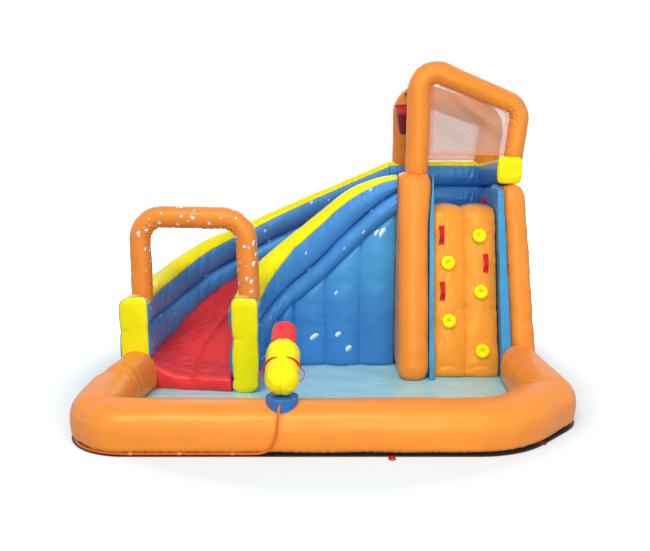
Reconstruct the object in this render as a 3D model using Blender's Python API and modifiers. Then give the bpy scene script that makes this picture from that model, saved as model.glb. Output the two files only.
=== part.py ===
"""Inflatable garden water slide, built as its separate sewn air chambers and fittings.

A low pool wall runs round the front. Behind it stand a climbing tower on the right and a
slide that leaves the tower to the left and turns to the front between two stacked bolsters.
Over them are a spray arch, two frames with nets and a tipping bucket, and a water cannon
stands on the pool wall.

Metres, +X right, +Y to the back, +Z up, origin on the ground under the middle of the object.
"""

import math

import bmesh
import bpy
import numpy as np
from mathutils import Matrix, Vector

# Fits
GAP = 0.0003  # between two pieces that touch
FABRIC = 0.006  # wall of an air chamber
PORT_SHARE = 0.3  # air passage at a chamber's end, as a share of its section
CUT_OVERRUN = 0.02  # how far a cutter runs past what it cuts

# Places of the main pieces, each measured back from the front of the pool wall
PARK_DEPTH = 3.20
FRONT_REACH = 0.0575  # the front anchor's tab stands out by this
FRONT_Y = FRONT_REACH - PARK_DEPTH / 2
POOL_WIDTH = 3.70

# Sheets under the park
SHEET_THICK = 0.004
FLOOR_THICK = 0.004
SHEET_MARGIN = 0.045
FLOOR_INSET = 0.030

# Pool wall
POOL_TUBE_WIDTH = 0.40
POOL_TUBE_HEIGHT = 0.334
POOL_LEFT_RADIUS = 0.28
POOL_RIGHT_RADIUS = 0.84
POOL_END_SHARE = 0.80  # the arms draw in to this share of the width where they are sewn on
POOL_LEFT_BEND_BACK = 0.95
POOL_RIGHT_BEND_BACK = 1.22
POOL_SECTION_SHARES = (
    (0.76, 0.0), (0.94, 0.16), (1.0, 0.42), (0.95, 0.68), (0.76, 0.87), (0.42, 0.97), (0.0, 1.0)
)

# Slide, in plan a straight mouth, a quarter turn and a straight run into the tower
BED_WIDTH = 0.68
BED_X = -1.15
BED_BACK = 2.50
MOUTH_BACK = 1.335
SLIDE_TURN_RADIUS = 0.85
TOWER_LEFT_X = 0.605
MOUTH_SKEW_SHARE = 0.144
MOUTH_FADE_SHARE = 0.12
SLIDE_STEPS = 16
BED_THICK = 0.12
BED_MOUTH_HEIGHT = 0.135
BED_CROWN = 0.022
PLATFORM_HEIGHT = 1.36
BED_RISE_SHARES = (
    (0.0, 0.0), (0.10, 0.02), (0.20, 0.10), (0.30, 0.21), (0.40, 0.345), (0.60, 0.58),
    (0.80, 0.81), (0.92, 0.945), (1.0, 1.0)
)
BED_PROFILE_SHARES = (
    (-1.0, -0.9), (-0.8, 0.2), (-0.45, 1.0), (-0.1, 0.5), (0.0, -0.4), (0.1, 0.5), (0.45, 1.0),
    (0.8, 0.2), (1.0, -0.9)
)

# Bolsters beside the slide
BOLSTER_WIDTH = 0.22
TUBE_HEIGHT = 0.235
TUBE_SIDES = 12
TUBE_POWER = 2.6
INNER_MOUTH_TOP = 0.815
INNER_TOP = 1.75
INNER_RISE_SHARES = (
    (0.0, 0.0), (0.15, 0.02), (0.25, 0.08), (0.35, 0.174), (0.40, 0.22), (0.50, 0.317), (0.60, 0.419),
    (0.65, 0.476), (0.70, 0.583), (0.75, 0.692), (0.80, 0.804), (0.85, 0.888), (0.90, 0.948),
    (0.95, 0.986), (1.0, 1.0)
)
INNER_UPPER_SHARES = (
    (0.0, 1.47), (0.20, 1.64), (0.35, 1.87), (0.65, 1.86), (0.80, 1.62), (0.90, 1.16), (1.0, 0.55)
)
INNER_LOWER_SHARES = (
    (0.0, 1.49), (0.20, 1.40), (0.35, 1.06), (0.45, 0.81), (0.60, 0.81), (0.80, 0.92), (1.0, 0.85)
)
OUTER_MOUTH_TOP = 0.80
OUTER_TOP = 1.83
OUTER_RISE_SHARES = (
    (0.0, 0.0), (0.15, 0.024), (0.20, 0.052), (0.25, 0.088), (0.30, 0.143), (0.35, 0.209),
    (0.40, 0.277), (0.50, 0.395), (0.60, 0.55), (0.65, 0.629), (0.70, 0.683), (0.80, 0.791),
    (0.90, 0.895), (1.0, 1.0)
)
OUTER_UPPER_SHARES = (
    (0.0, 1.19), (0.15, 1.30), (0.25, 1.45), (0.40, 1.32), (0.50, 1.19), (0.60, 1.11), (0.80, 1.085),
    (1.0, 1.0)
)
OUTER_LOWER_SHARES = (
    (0.0, 1.36), (0.15, 1.36), (0.25, 1.255), (0.40, 1.0), (0.60, 1.0), (0.80, 1.06), (1.0, 1.0)
)
TOP_PANEL_THICK = 0.004
CAP_DEPTH = 0.035
CAP_CROWN_SHARE = 0.80

# Quilted walls under the bolsters
WALL_WIDTH = 0.14
WALL_PINCH_SHARE = 0.62
WALL_SHOULDER = 0.03
WALL_EDGE_SHARE = 0.55

# Tower
REAR_X = 1.585
REAR_CORNER_RADIUS = 0.16
RIGHT_FRONT_BACK = 1.97
RIGHT_TOP = 1.92
COLUMN_REAR_BACK = 2.18
COLUMN_BASE_BACK = 1.52
COLUMN_TOP_BACK = 1.86
COLUMN_ROUND = 0.12
LEFT_COLUMN_WIDTH = 0.27
LEFT_COLUMN_HEIGHT = 1.775
RIGHT_COLUMN_WIDTH = 0.20
COLUMN_CROWN = 0.03
COLUMN_CROWN_INSET = 0.02
COLUMN_SIDES = 8
LINER_WIDTH = 0.045
LINER_SETBACK = 0.05
LINER_DROP = 0.015
CLIMB_WIDTH = 0.54
CLIMB_HEIGHT = 1.49
CLIMB_BASE_BACK = 1.63
CLIMB_TOP_BACK = 1.955
CLIMB_CHANNEL_DEPTH = 0.045
CLIMB_DRAW = 0.07
TOWER_FAN_SHARE = 0.08  # the tower's front spreads to its foot by this share of its width
CHANNEL_SHARES = ((0.0, 0.0), (0.08, 0.65), (0.25, 1.0), (0.75, 1.0), (0.92, 0.65), (1.0, 0.0))
PLATFORM_THICK = 0.13
PLATFORM_BEVEL = 0.03

# Footholds and webbing handles on the climbing wall, by channel and height
FOOTHOLD_RADIUS = 0.0625
FOOTHOLD_DEPTH = 0.035
FOOTHOLD_STEPS = 20
FOOTHOLD_HEIGHTS = ((1, 1.242), (0, 1.009), (1, 0.759), (0, 0.509), (1, 0.251))
HANDLE_HEIGHTS = ((0, 1.247), (1, 1.005), (0, 0.765))
HANDLE_LENGTH = 0.165
HANDLE_WIDTH = 0.045
HANDLE_THICK = 0.004
HANDLE_RISE = 0.035
HANDLE_OFFSET = 0.045
HANDLE_PATCH_SHARE = 0.18
HANDLE_POINTS = 7
PLATFORM_HANDLE_BACK = 2.42
PLATFORM_HANDLE_HEIGHT = 1.50

# Spray arch and frames
ARCH_RADIUS = 0.09
ARCH_LEFT_X = -1.567
ARCH_RIGHT_X = -0.658
ARCH_SPLAY = 0.02
ARCH_LEFT_BACK = 1.51
ARCH_RIGHT_BACK = 1.40
ARCH_CENTRE_HEIGHT = 1.45
ARCH_CORNER = 0.20
FOOT_LAP = 0.05
FRAME_RADIUS = 0.097
FRAME_CORNER = 0.15
FRONT_FRAME_BACK = 2.075
FRONT_FRAME_X = 0.77
FRONT_FRAME_PEAK = 2.681
FRONT_FRAME_KNEE_X = 1.655
FRONT_FRAME_KNEE = 2.302
FRONT_FRAME_FOOT_X = 1.605
REAR_FRAME_BACK = 2.95
REAR_FRAME_X = 0.745
REAR_FRAME_PEAK = 2.545
REAR_FRAME_KNEE_X = 1.60
REAR_FRAME_KNEE = 2.234
REAR_FRAME_FOOT_X = 1.54
FRAME_SIDES = 12
CORNER_STEPS = 5
FRAME_ARC_STEP = math.radians(22)
NET_THICK = 0.003
NET_HEM = 0.045
NET_PITCH = 0.062
NET_CORD = 0.010
FRONT_NET_FOOT = 1.93
NET_FOOT_CLEARANCE = 0.012

# Tipping bucket
BUCKET_TOP_RADIUS = 0.14
BUCKET_FOOT_RADIUS = 0.095
BUCKET_HEIGHT = 0.28
BUCKET_FOOT = 2.10
BUCKET_WALL = 0.005
BUCKET_RIM = 0.008
BUCKET_STEPS = 20
AXLE_RADIUS = 0.012
AXLE_HEIGHT = 2.30
AXLE_CLEARANCE = 0.0008
FILLER_RADIUS = 0.022
FILLER_BORE = 0.016
FILLER_LENGTH = 0.02
FILLER_DROP = 0.0022
TIE_STRAP_FRONT = 2.535
TIE_STRAP_REAR = 2.475
TIE_STRAP_WIDTH = 0.05
TIE_STRAP_THICK = 0.006

# Water cannon
CANNON_X = -0.325
CANNON_BACK = 0.17
CANNON_BASE_RADIUS = 0.11
CANNON_BASE_TOP = 0.372
COLLAR_RADIUS = 0.075
COLLAR_THICK = 0.010
BARREL_RADIUS = 0.12
BARREL_REACH = 0.21
BARREL_TILT = math.radians(30)
BARREL_SEAT = GAP
NOZZLE_RADIUS = 0.082
NOZZLE_LENGTH = 0.15
NOZZLE_WALL = 0.007
NOZZLE_TAPER_SHARE = 0.93
SPOUT_RADIUS = 0.02
CANNON_HANDLE_LENGTH = 0.15
CANNON_HANDLE_RISE = 0.035
CANNON_HANDLE_WIDTH = 0.022
CANNON_HANDLE_AHEAD = 0.06
BARREL_SIDES = 20

# Hose, in its own points measured back from the front of the pool wall
HOSE_RADIUS = 0.009
HOSE_SPACING = 0.042
HOSE_POINTS = (
    (-0.335, 0.0585, 0.3480), (-0.336, 0.040, 0.3480), (-0.338, 0.014, 0.339), (-0.342, -0.006, 0.312),
    (-0.346, -0.015, 0.270), (-0.351, -0.016, 0.210), (-0.362, -0.016, 0.160), (-0.378, -0.016, 0.105),
    (-0.407, -0.007, 0.055), (-0.455, 0.010, 0.026), (-0.520, 0.020, 0.0160), (-0.600, 0.020, 0.0160),
    (-1.100, 0.020, 0.0160), (-1.360, 0.020, 0.0160), (-1.420, 0.020, 0.0160), (-1.560, 0.050, 0.0160),
    (-1.690, 0.125, 0.0160), (-1.785, 0.250, 0.0160), (-1.827, 0.430, 0.0160), (-1.827, 0.540, 0.0160),
    (-1.827, 0.700, 0.0160), (-1.827, 0.920, 0.0160), (-1.815, 1.100, 0.0160), (-1.800, 1.280, 0.0160)
)
HOSE_FOOT = 0.048  # the pool wall's foot stood this far in where the points were placed
HOSE_LOW = 0.055  # below this the hose keeps its distance to that foot
HOSE_BEND = (-1.42, -1.785)  # the run round the corner, from the front to the left side
CONNECTOR_RADIUS = 0.0133
CONNECTOR_LENGTH = 0.055
HOSE_LOOPS = ((-0.652, 0.020, 0), (-1.013, 0.020, 0), (-1.345, 0.020, 0), (-1.827, 0.62, 1))
HOSE_REST = 0.0160
LOOP_WIDTH = 0.022
LOOP_WALL = 0.002
LOOP_CLEARANCE = 0.0004
LOOP_SIDES = 8

# Anchors, air inlet and deflation flap
ANCHOR_RIGHT = (1.506, 0.272)
ANCHOR_REAR = (0.20, 3.07)
ANCHOR_LENGTH = 0.06
ANCHOR_WIDTH = 0.05
ANCHOR_HOLE = 0.009
ANCHOR_FRONT_X = 0.42
ANCHOR_SIDE_SHARE = 0.62
SLEEVE_X = 1.1175
SLEEVE_HEIGHT = 0.20
SLEEVE_RADIUS = 0.06
SLEEVE_LENGTH = 0.1215
SLEEVE_WALL = 0.005
SLEEVE_SET = 0.03
SLEEVE_FLARE_SHARE = 1.12
SLEEVE_WAIST_SHARE = 0.82
FLAP_SHARE = 0.40  # of one channel step, to each side of its crown
FLAP_HEIGHT = 0.22
FLAP_TALL = 0.09
FLAP_THICK = 0.004

# Colours of the coated fabrics
ORANGE = "F28A2B"
BLUE = "2A6CB5"
LIGHT_BLUE = "2F9FE0"
YELLOW = "F6EC1E"
RED = "D8262C"
AQUA = "7CC5D6"
BLACK = "17181A"
NET_WHITE = "EFE6E2"

# Heights that follow from the sheets
SHEET_TOP = SHEET_THICK
FLOOR_BASE = SHEET_TOP + GAP
BASE_Z = FLOOR_BASE + FLOOR_THICK + GAP
BOLSTER_OFFSET = BED_WIDTH / 2 + GAP + BOLSTER_WIDTH / 2


def back(distance):
    """World Y of a place measured back from the front of the pool wall."""
    return FRONT_Y + distance


# Scene


def clear_scene():
    for item in list(bpy.data.objects):
        bpy.data.objects.remove(item, do_unlink=True)


def new_collection(name):
    collection = bpy.data.collections.new(name)
    bpy.context.scene.collection.children.link(collection)
    return collection


def linear(channel):
    return channel / 12.92 if channel <= 0.04045 else ((channel + 0.055) / 1.055) ** 2.4


def fabric(name, code, roughness=0.45):
    """A coated fabric of one colour, given as six hex digits."""
    known = bpy.data.materials.get(name)
    if known:
        return known
    made = bpy.data.materials.new(name)
    made.use_nodes = True
    shader = made.node_tree.nodes["Principled BSDF"]
    colour = [linear(int(code[i : i + 2], 16) / 255) for i in (0, 2, 4)]
    shader.inputs["Base Color"].default_value = (*colour, 1)
    shader.inputs["Roughness"].default_value = roughness
    shader.inputs["Metallic"].default_value = 0.0
    made.diffuse_color = (*colour, 1)
    return made


clear_scene()
PARTS = new_collection("inflatable_water_slide")
CUTTERS = new_collection("cutters")


def place(name, mesh, finish, collection=None):
    item = bpy.data.objects.new(name, mesh)
    (collection or PARTS).objects.link(item)
    if finish:
        mesh.materials.append(finish)
    return item


def mesh_from(bm, name):
    if bm.calc_volume(signed=True) < 0:
        bmesh.ops.reverse_faces(bm, faces=bm.faces)
    mesh = bpy.data.meshes.new(name)
    bm.to_mesh(mesh)
    bm.free()
    mesh.shade_smooth()
    mesh.set_sharp_from_angle(angle=math.radians(40))
    return mesh


def piece_from_curve(item):
    """The evaluated curve as a mesh object of the same name, with its caps welded."""
    name = item.name
    graph = bpy.context.evaluated_depsgraph_get()
    mesh = bpy.data.meshes.new_from_object(item.evaluated_get(graph))
    bm = bmesh.new()
    bm.from_mesh(mesh)
    bmesh.ops.remove_doubles(bm, verts=bm.verts, dist=GAP / 10)
    bmesh.ops.recalc_face_normals(bm, faces=bm.faces)
    bm.to_mesh(mesh)
    bm.free()
    matrix = item.matrix_world.copy()
    bpy.data.objects.remove(item, do_unlink=True)
    made = bpy.data.objects.new(name, mesh)
    made.matrix_world = matrix
    PARTS.objects.link(made)
    return made


# Lofts


def weave(bm, ring, following):
    """Triangles between two rings. Both halves lean the same way, so stacked tubes nest."""
    count = len(ring)
    for i in range(count):
        j = (i + 1) % count
        if i < count // 2:
            bm.faces.new((ring[i], ring[j], following[j]))
            bm.faces.new((ring[i], following[j], following[i]))
        else:
            bm.faces.new((ring[i], ring[j], following[i]))
            bm.faces.new((ring[j], following[j], following[i]))


def loft(sections, port_end=None):
    """A closed skin over rings of points. With a port end, an air passage stays open there."""
    bm = bmesh.new()
    rings = [[bm.verts.new(point) for point in section] for section in sections]
    for ring, following in zip(rings, rings[1:]):
        weave(bm, ring, following)
    ends = ((0, rings[0][::-1]), (-1, rings[-1]))
    for index, ring in ends:
        if index != port_end:
            bm.faces.new(ring)
            continue
        middle = sum((vert.co for vert in ring), Vector()) / len(ring)
        port = [bm.verts.new(middle + (vert.co - middle) * PORT_SHARE) for vert in ring]
        for i in range(len(ring)):
            j = (i + 1) % len(ring)
            bm.faces.new((ring[i], ring[j], port[j], port[i]))
    return bm


def chamber(name, sections, finish, port_end=None):
    """An air chamber: a fabric shell with an air passage at one end, or a plain filled form."""
    item = place(name, mesh_from(loft(sections, port_end), name), finish)
    if port_end is not None:
        wall = item.modifiers.new("fabric", "SOLIDIFY")
        wall.thickness = FABRIC
        wall.offset = -1
        wall.use_even_offset = True
    return item


def cutter(name, sections):
    item = place(name, mesh_from(loft(sections), name), None, CUTTERS)
    item.hide_render = True
    item.display_type = "WIRE"
    return item


def cut(item, tool):
    trim = item.modifiers.new("seat", "BOOLEAN")
    trim.operation = "DIFFERENCE"
    trim.solver = "EXACT"
    trim.object = tool


def share_at(table, place_share):
    """A smooth curve through a table of shares: cubic pieces with averaged slopes."""
    xs = [row[0] for row in table]
    ys = [row[1] for row in table]
    slopes = [(ys[i + 1] - ys[i]) / (xs[i + 1] - xs[i]) for i in range(len(xs) - 1)]
    tangents = [slopes[0]]
    for before, after in zip(slopes, slopes[1:]):
        tangents.append(0.0 if before * after <= 0 else 2 * before * after / (before + after))
    tangents.append(slopes[-1])
    place_share = min(max(place_share, xs[0]), xs[-1])
    i = min(int(np.searchsorted(xs, place_share, side="right")) - 1, len(xs) - 2)
    span = xs[i + 1] - xs[i]
    t = (place_share - xs[i]) / span
    lift = ys[i] * (2 * t**3 - 3 * t**2 + 1) + ys[i + 1] * (3 * t**2 - 2 * t**3)
    return lift + span * (tangents[i] * (t**3 - 2 * t**2 + t) + tangents[i + 1] * (t**3 - t**2))


class Route:
    """Straight runs joined by round corners in a plane, measured by distance."""

    def __init__(self, corners, radii):
        self.legs = []
        start = Vector(corners[0])
        for i in range(1, len(corners)):
            corner = Vector(corners[i])
            radius = radii[i]
            if i == len(corners) - 1 or radius == 0:
                self.legs.append(("line", start, corner))
                start = corner
                continue
            into = (corner - Vector(corners[i - 1])).normalized()
            away = (Vector(corners[i + 1]) - corner).normalized()
            turn = into.angle_signed(away)
            reach = radius * math.tan(abs(turn) / 2)
            begin = corner - into * reach
            self.legs.append(("line", start, begin))
            self.legs.append(("arc", begin, into, -turn, radius))
            start = corner + away * reach
        self.lengths = [self.leg_length(leg) for leg in self.legs]
        self.length = sum(self.lengths)

    @staticmethod
    def leg_length(leg):
        if leg[0] == "line":
            return (leg[2] - leg[1]).length
        return abs(leg[3]) * leg[4]

    def at(self, distance):
        """The point and the unit heading at this distance from the start."""
        for leg, length in zip(self.legs, self.lengths):
            if distance <= length or leg is self.legs[-1]:
                break
            distance -= length
        if leg[0] == "line":
            heading = (leg[2] - leg[1]).normalized()
            return leg[1] + heading * distance, heading
        _, begin, into, turn, radius = leg
        side = math.copysign(1, turn)
        left = Vector((-into.y, into.x))
        centre = begin + left * (radius * side)
        angle = side * distance / radius
        spoke = begin - centre
        spoke.rotate(Matrix.Rotation(angle, 2))
        heading = into.copy()
        heading.rotate(Matrix.Rotation(angle, 2))
        return centre + spoke, heading

    def stations(self, line_steps, arc_step):
        """Distances: each straight run in this many steps, each corner in steps of this angle."""
        found = [0.0]
        for leg, length in zip(self.legs, self.lengths):
            steps = line_steps
            if leg[0] == "arc":
                steps = max(2, math.ceil(abs(leg[3]) / arc_step))
            if length > GAP:
                begin = found[-1]
                found += [begin + length * (k + 1) / steps for k in range(steps)]
        return found


def oval_angles(sides):
    return [2 * math.pi * (k + 0.5) / sides for k in range(sides)]


def oval_point(angle, half_width, half_height):
    """A point of a fuller oval, the section of a tube that lies on another."""
    across, up = math.cos(angle), math.sin(angle)
    return (
        math.copysign(abs(across) ** (2 / TUBE_POWER), across) * half_width,
        math.copysign(abs(up) ** (2 / TUBE_POWER), up) * half_height,
    )


# Slide


SLIDE_ROUTE = Route(
    ((BED_X, back(MOUTH_BACK)), (BED_X, back(BED_BACK)), (TOWER_LEFT_X - GAP, back(BED_BACK))),
    (0, SLIDE_TURN_RADIUS, 0),
)
STATION_SHARES = [k / SLIDE_STEPS for k in range(SLIDE_STEPS + 1)]


def slide_point(share, offset, height):
    """A point beside the slide's middle line, outward positive. The mouth is cut askew."""
    point, heading = SLIDE_ROUTE.at(share * SLIDE_ROUTE.length)
    outward = Vector((-heading.y, heading.x))
    fade = max(0.0, 1 - share / MOUTH_FADE_SHARE)
    point = point + outward * offset + heading * (MOUTH_SKEW_SHARE * offset * fade)
    return (point.x, point.y, height)


def bed_height(share):
    rise = PLATFORM_HEIGHT - BED_MOUTH_HEIGHT
    return BED_MOUTH_HEIGHT + rise * share_at(BED_RISE_SHARES, share)


class Bolster:
    """Two stacked tubes on one side of the slide."""

    def __init__(self, side, mouth_top, top, rise_shares, tube_shares):
        self.side = side
        self.offset = side * BOLSTER_OFFSET
        self.mouth_top = mouth_top
        self.top = top
        self.rise_shares = rise_shares
        self.tube_shares = tube_shares

    def crest(self, share):
        return self.mouth_top + (self.top - self.mouth_top) * share_at(self.rise_shares, share)

    def tube_height(self, share, index):
        """Upright height of the upper (0) or lower (1) tube, fuller where the slide is steep."""
        return TUBE_HEIGHT * share_at(self.tube_shares[index], share)

    def tube_span(self, share, index):
        """Lowest and highest level of the upper (0) or lower (1) tube."""
        high = self.crest(share) - sum(self.tube_height(share, k) for k in range(index))
        return high - self.tube_height(share, index) + GAP, high

    def foot(self, share):
        return self.tube_span(share, 1)[0] - GAP

    def section(self, share, index, grow=0.0):
        low, high = self.tube_span(share, index)
        return [
            slide_point(share, self.offset + across, (low + high) / 2 + up)
            for across, up in (
                oval_point(angle, BOLSTER_WIDTH / 2 + grow, (high - low) / 2 + grow)
                for angle in oval_angles(TUBE_SIDES)
            )
        ]

    def tube(self, name, index, finish):
        return chamber(name, [self.section(s, index) for s in STATION_SHARES], finish, -1)

    def top_panel(self, name, finish):
        inside = GAP + GAP
        return panel(
            name,
            [self.section(s, 0, inside) for s in STATION_SHARES],
            [self.section(s, 0, inside + TOP_PANEL_THICK) for s in STATION_SHARES],
            finish,
        )

    def foot_cutter(self, name, last):
        """The bolster's mouth with its top panel, grown by the gap, for the arch's foot."""
        grow = GAP + GAP + TOP_PANEL_THICK + GAP
        return cutter(name, [self.section(s, 0, grow) for s in STATION_SHARES[: last + 1]])

    def cap(self, name, lobes, finish):
        """The mouth's end cap: an outline of lobes, one for each tube behind it, crowned."""
        outline = lobed_outline(lobes, BOLSTER_WIDTH / 2)
        _, heading = SLIDE_ROUTE.at(0)
        middle = sum(up for _, up in outline) / len(outline)
        sections = []
        for depth, size in ((GAP, 1.0), (CAP_DEPTH / 2, 1.0), (CAP_DEPTH, CAP_CROWN_SHARE)):
            ring = []
            for across, up in outline:
                x, y, z = slide_point(0.0, self.offset + across * size, middle + (up - middle) * size)
                ring.append((x - heading.x * depth, y - heading.y * depth, z))
            sections.append(ring)
        return chamber(name, sections, finish)


def lobed_outline(lobes, half_width):
    """One closed outline round stacked ovals, given top down as (low, high)."""
    right, left = [], []
    for k, (low, high) in enumerate(lobes):
        for angle in oval_angles(TUBE_SIDES):
            across, up = oval_point(angle, half_width, (high - low) / 2)
            buried = (up > 0 and k > 0) or (up < 0 and k < len(lobes) - 1)
            if buried and abs(across) < half_width * 0.8:
                continue
            (right if across > 0 else left).append((across, (high + low) / 2 + up))
    right.sort(key=lambda point: -point[1])
    left.sort(key=lambda point: point[1])
    return right + left


def panel(name, inner, outer, finish):
    """A thin fabric strip over the top of a tube, between two of its grown sections."""
    tops = range(TUBE_SIDES // 2)
    sections = [
        [low[i] for i in tops] + [high[i] for i in reversed(tops)] for low, high in zip(inner, outer)
    ]
    return chamber(name, sections, finish)


INNER = Bolster(
    -1, INNER_MOUTH_TOP, INNER_TOP, INNER_RISE_SHARES, (INNER_UPPER_SHARES, INNER_LOWER_SHARES)
)
OUTER = Bolster(
    1, OUTER_MOUTH_TOP, OUTER_TOP, OUTER_RISE_SHARES, (OUTER_UPPER_SHARES, OUTER_LOWER_SHARES)
)


def slide_bed(finish):
    """The bed: a pad with a crowned top and a sewn channel down its middle."""
    sections = []
    for share in STATION_SHARES:
        top = bed_height(share)
        foot = max(BASE_Z, top - BED_THICK - BED_CROWN)
        crowns = [
            slide_point(share, BED_WIDTH / 2 * across, top - BED_CROWN * (1 - up))
            for across, up in BED_PROFILE_SHARES
        ]
        under = [slide_point(share, BED_WIDTH / 2 * side, foot) for side in (1, -1)]
        sections.append(crowns + under)
    return chamber("slide_bed", sections, finish, -1)


def quilt(step):
    """Half thickness share of a quilted wall: drawn in at every second station."""
    return 1.0 if step % 2 else WALL_PINCH_SHARE


def wall_section(point, half, top):
    """An upright wall's section: drawn in at its foot and shoulders, round the same way as a tube."""
    shoulder, heel = top - WALL_SHOULDER, BASE_Z + WALL_SHOULDER
    narrow = half * WALL_EDGE_SHARE
    right = [(narrow, BASE_Z), (half, heel), (half, shoulder), (narrow, top)]
    left = [(-across, height) for across, height in reversed(right)]
    ring = right[2:] + left + right[:2]
    return [point(across, height) for across, height in ring]


def side_wall(name, bolster, finish):
    sections = []
    for k, share in enumerate(STATION_SHARES):

        def point(across, height, share=share):
            return slide_point(share, bolster.offset + across, height)

        sections.append(wall_section(point, WALL_WIDTH / 2 * quilt(k), bolster.foot(share) - GAP))
    return chamber(name, sections, finish, -1)


# Tower


REAR_ROUTE = Route(
    (
        (TOWER_LEFT_X + GAP, back(BED_BACK) + BOLSTER_OFFSET),
        (REAR_X, back(BED_BACK) + BOLSTER_OFFSET),
        (REAR_X, back(RIGHT_FRONT_BACK)),
    ),
    (0, REAR_CORNER_RADIUS, 0),
)
REAR_STATIONS = REAR_ROUTE.stations(4, math.radians(23))
REAR_TURN_END = REAR_ROUTE.length - REAR_ROUTE.lengths[-1]
COLUMN_CLEAR = REAR_ROUTE.length - (COLUMN_REAR_BACK - RIGHT_FRONT_BACK) - GAP


def rear_rise(distance):
    """The right side climbs to its front from the corner on."""
    part = max(0.0, (distance - REAR_TURN_END) / (REAR_ROUTE.length - REAR_TURN_END))
    return (RIGHT_TOP - OUTER_TOP) * part


def rear_point(distance, across, height):
    point, heading = REAR_ROUTE.at(distance)
    outward = Vector((-heading.y, heading.x))
    point = point + outward * across
    return (point.x, point.y, height)


def rear_span(distance, index):
    high = OUTER_TOP + rear_rise(distance)
    low = high - TUBE_HEIGHT
    if index == 0:
        return low + GAP, high
    return PLATFORM_HEIGHT, low


def rear_section(distance, index, grow=0.0):
    low, high = rear_span(distance, index)
    return [
        rear_point(distance, across, (low + high) / 2 + up)
        for across, up in (
            oval_point(angle, BOLSTER_WIDTH / 2 + grow, (high - low) / 2 + grow)
            for angle in oval_angles(TUBE_SIDES)
        )
    ]


def rear_bolster(name, index, finish):
    last = REAR_ROUTE.length if index == 0 else COLUMN_CLEAR
    stops = [d for d in REAR_STATIONS if d < last - GAP] + [last]
    return chamber(name, [rear_section(d, index) for d in stops], finish, 0)


def rear_top_panel(name, finish):
    inside = GAP + GAP
    return panel(
        name,
        [rear_section(d, 0, inside) for d in REAR_STATIONS],
        [rear_section(d, 0, inside + TOP_PANEL_THICK) for d in REAR_STATIONS],
        finish,
    )


def rear_end_cap(name, finish):
    sections = []
    low, high = rear_span(REAR_ROUTE.length, 0)
    for depth, size in ((GAP, 1.0), (CAP_DEPTH / 2, 1.0), (CAP_DEPTH, CAP_CROWN_SHARE)):
        ring = []
        for angle in oval_angles(TUBE_SIDES):
            across, up = oval_point(angle, BOLSTER_WIDTH / 2 * size, (high - low) / 2 * size)
            x, y, z = rear_point(REAR_ROUTE.length, across, (low + high) / 2 + up)
            ring.append((x, y - depth, z))
        sections.append(ring)
    return chamber(name, sections, finish)


def rear_panels(name, finish):
    """The orange wall from the ground to the platform, round the back and the right side."""
    stops = REAR_ROUTE.stations(8, math.radians(23))
    stops = [d for d in stops if d < COLUMN_CLEAR - GAP] + [COLUMN_CLEAR]
    sections = []
    for k, distance in enumerate(stops):
        half = WALL_WIDTH / 2 * quilt(k)

        def point(across, height, where=distance):
            return rear_point(where, across, height)

        sections.append(wall_section(point, half, PLATFORM_HEIGHT - GAP))
    return chamber(name, sections, finish, 0)


def lean(height, base, top):
    """A place on the tower's sloping front, by height."""
    return back(base + (top - base) * height / LEFT_COLUMN_HEIGHT)


def fan(x, height):
    """The tower's front spreads from the left column's side towards its foot."""
    pivot = TOWER_LEFT_X + LEFT_COLUMN_WIDTH
    return pivot + (x - pivot) * (1 + TOWER_FAN_SHARE * (1 - height / LEFT_COLUMN_HEIGHT))


LEFT_COLUMN_RIGHT = TOWER_LEFT_X + LEFT_COLUMN_WIDTH
CLIMB_LEFT = LEFT_COLUMN_RIGHT + LINER_WIDTH + GAP
CLIMB_RIGHT = CLIMB_LEFT + CLIMB_WIDTH
RIGHT_COLUMN_LEFT = CLIMB_RIGHT + LINER_WIDTH + GAP
RIGHT_COLUMN_RIGHT = RIGHT_COLUMN_LEFT + RIGHT_COLUMN_WIDTH
RIGHT_COLUMN_HEIGHT = rear_span(COLUMN_CLEAR, 0)[0] - COLUMN_CROWN_INSET / 2


def upright_section(left, right, front, rear, depth, inset, height, sides):
    """Flat back and sides with a rounded front, drawn in all round by the inset."""
    left, right, front, rear = left + inset, right - inset, front + inset, rear - inset
    middle, half = (left + right) / 2, (right - left) / 2
    arc = []
    for k in range(sides + 1):
        angle = math.pi * k / sides
        across, ahead = oval_point(angle, half, depth)
        arc.append((middle + across, front + depth - ahead, height))
    return [(left, rear, height), (right, rear, height)] + arc


def column(name, left_of, right_of, height, setback, finish, port_end=None):
    """A column of the tower: a chamber with a sloping rounded front and a drawn-in crown."""
    base = BASE_Z
    levels = (
        (base, 0.0), (height - COLUMN_CROWN * 2, 0.0), (height - COLUMN_CROWN / 2, COLUMN_CROWN_INSET / 3),
        (height, COLUMN_CROWN_INSET)
    )
    sections = []
    for level, inset in levels:
        front = lean(level, COLUMN_BASE_BACK, COLUMN_TOP_BACK) + setback
        depth = min(COLUMN_ROUND, (right_of(level) - left_of(level)) / 2)
        sections.append(
            upright_section(
                left_of(level), right_of(level), front, back(COLUMN_REAR_BACK), depth, inset, level,
                COLUMN_SIDES
            )
        )
    return chamber(name, sections, finish, port_end)


def climb_front(level):
    return lean(level, CLIMB_BASE_BACK, CLIMB_TOP_BACK)


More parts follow.
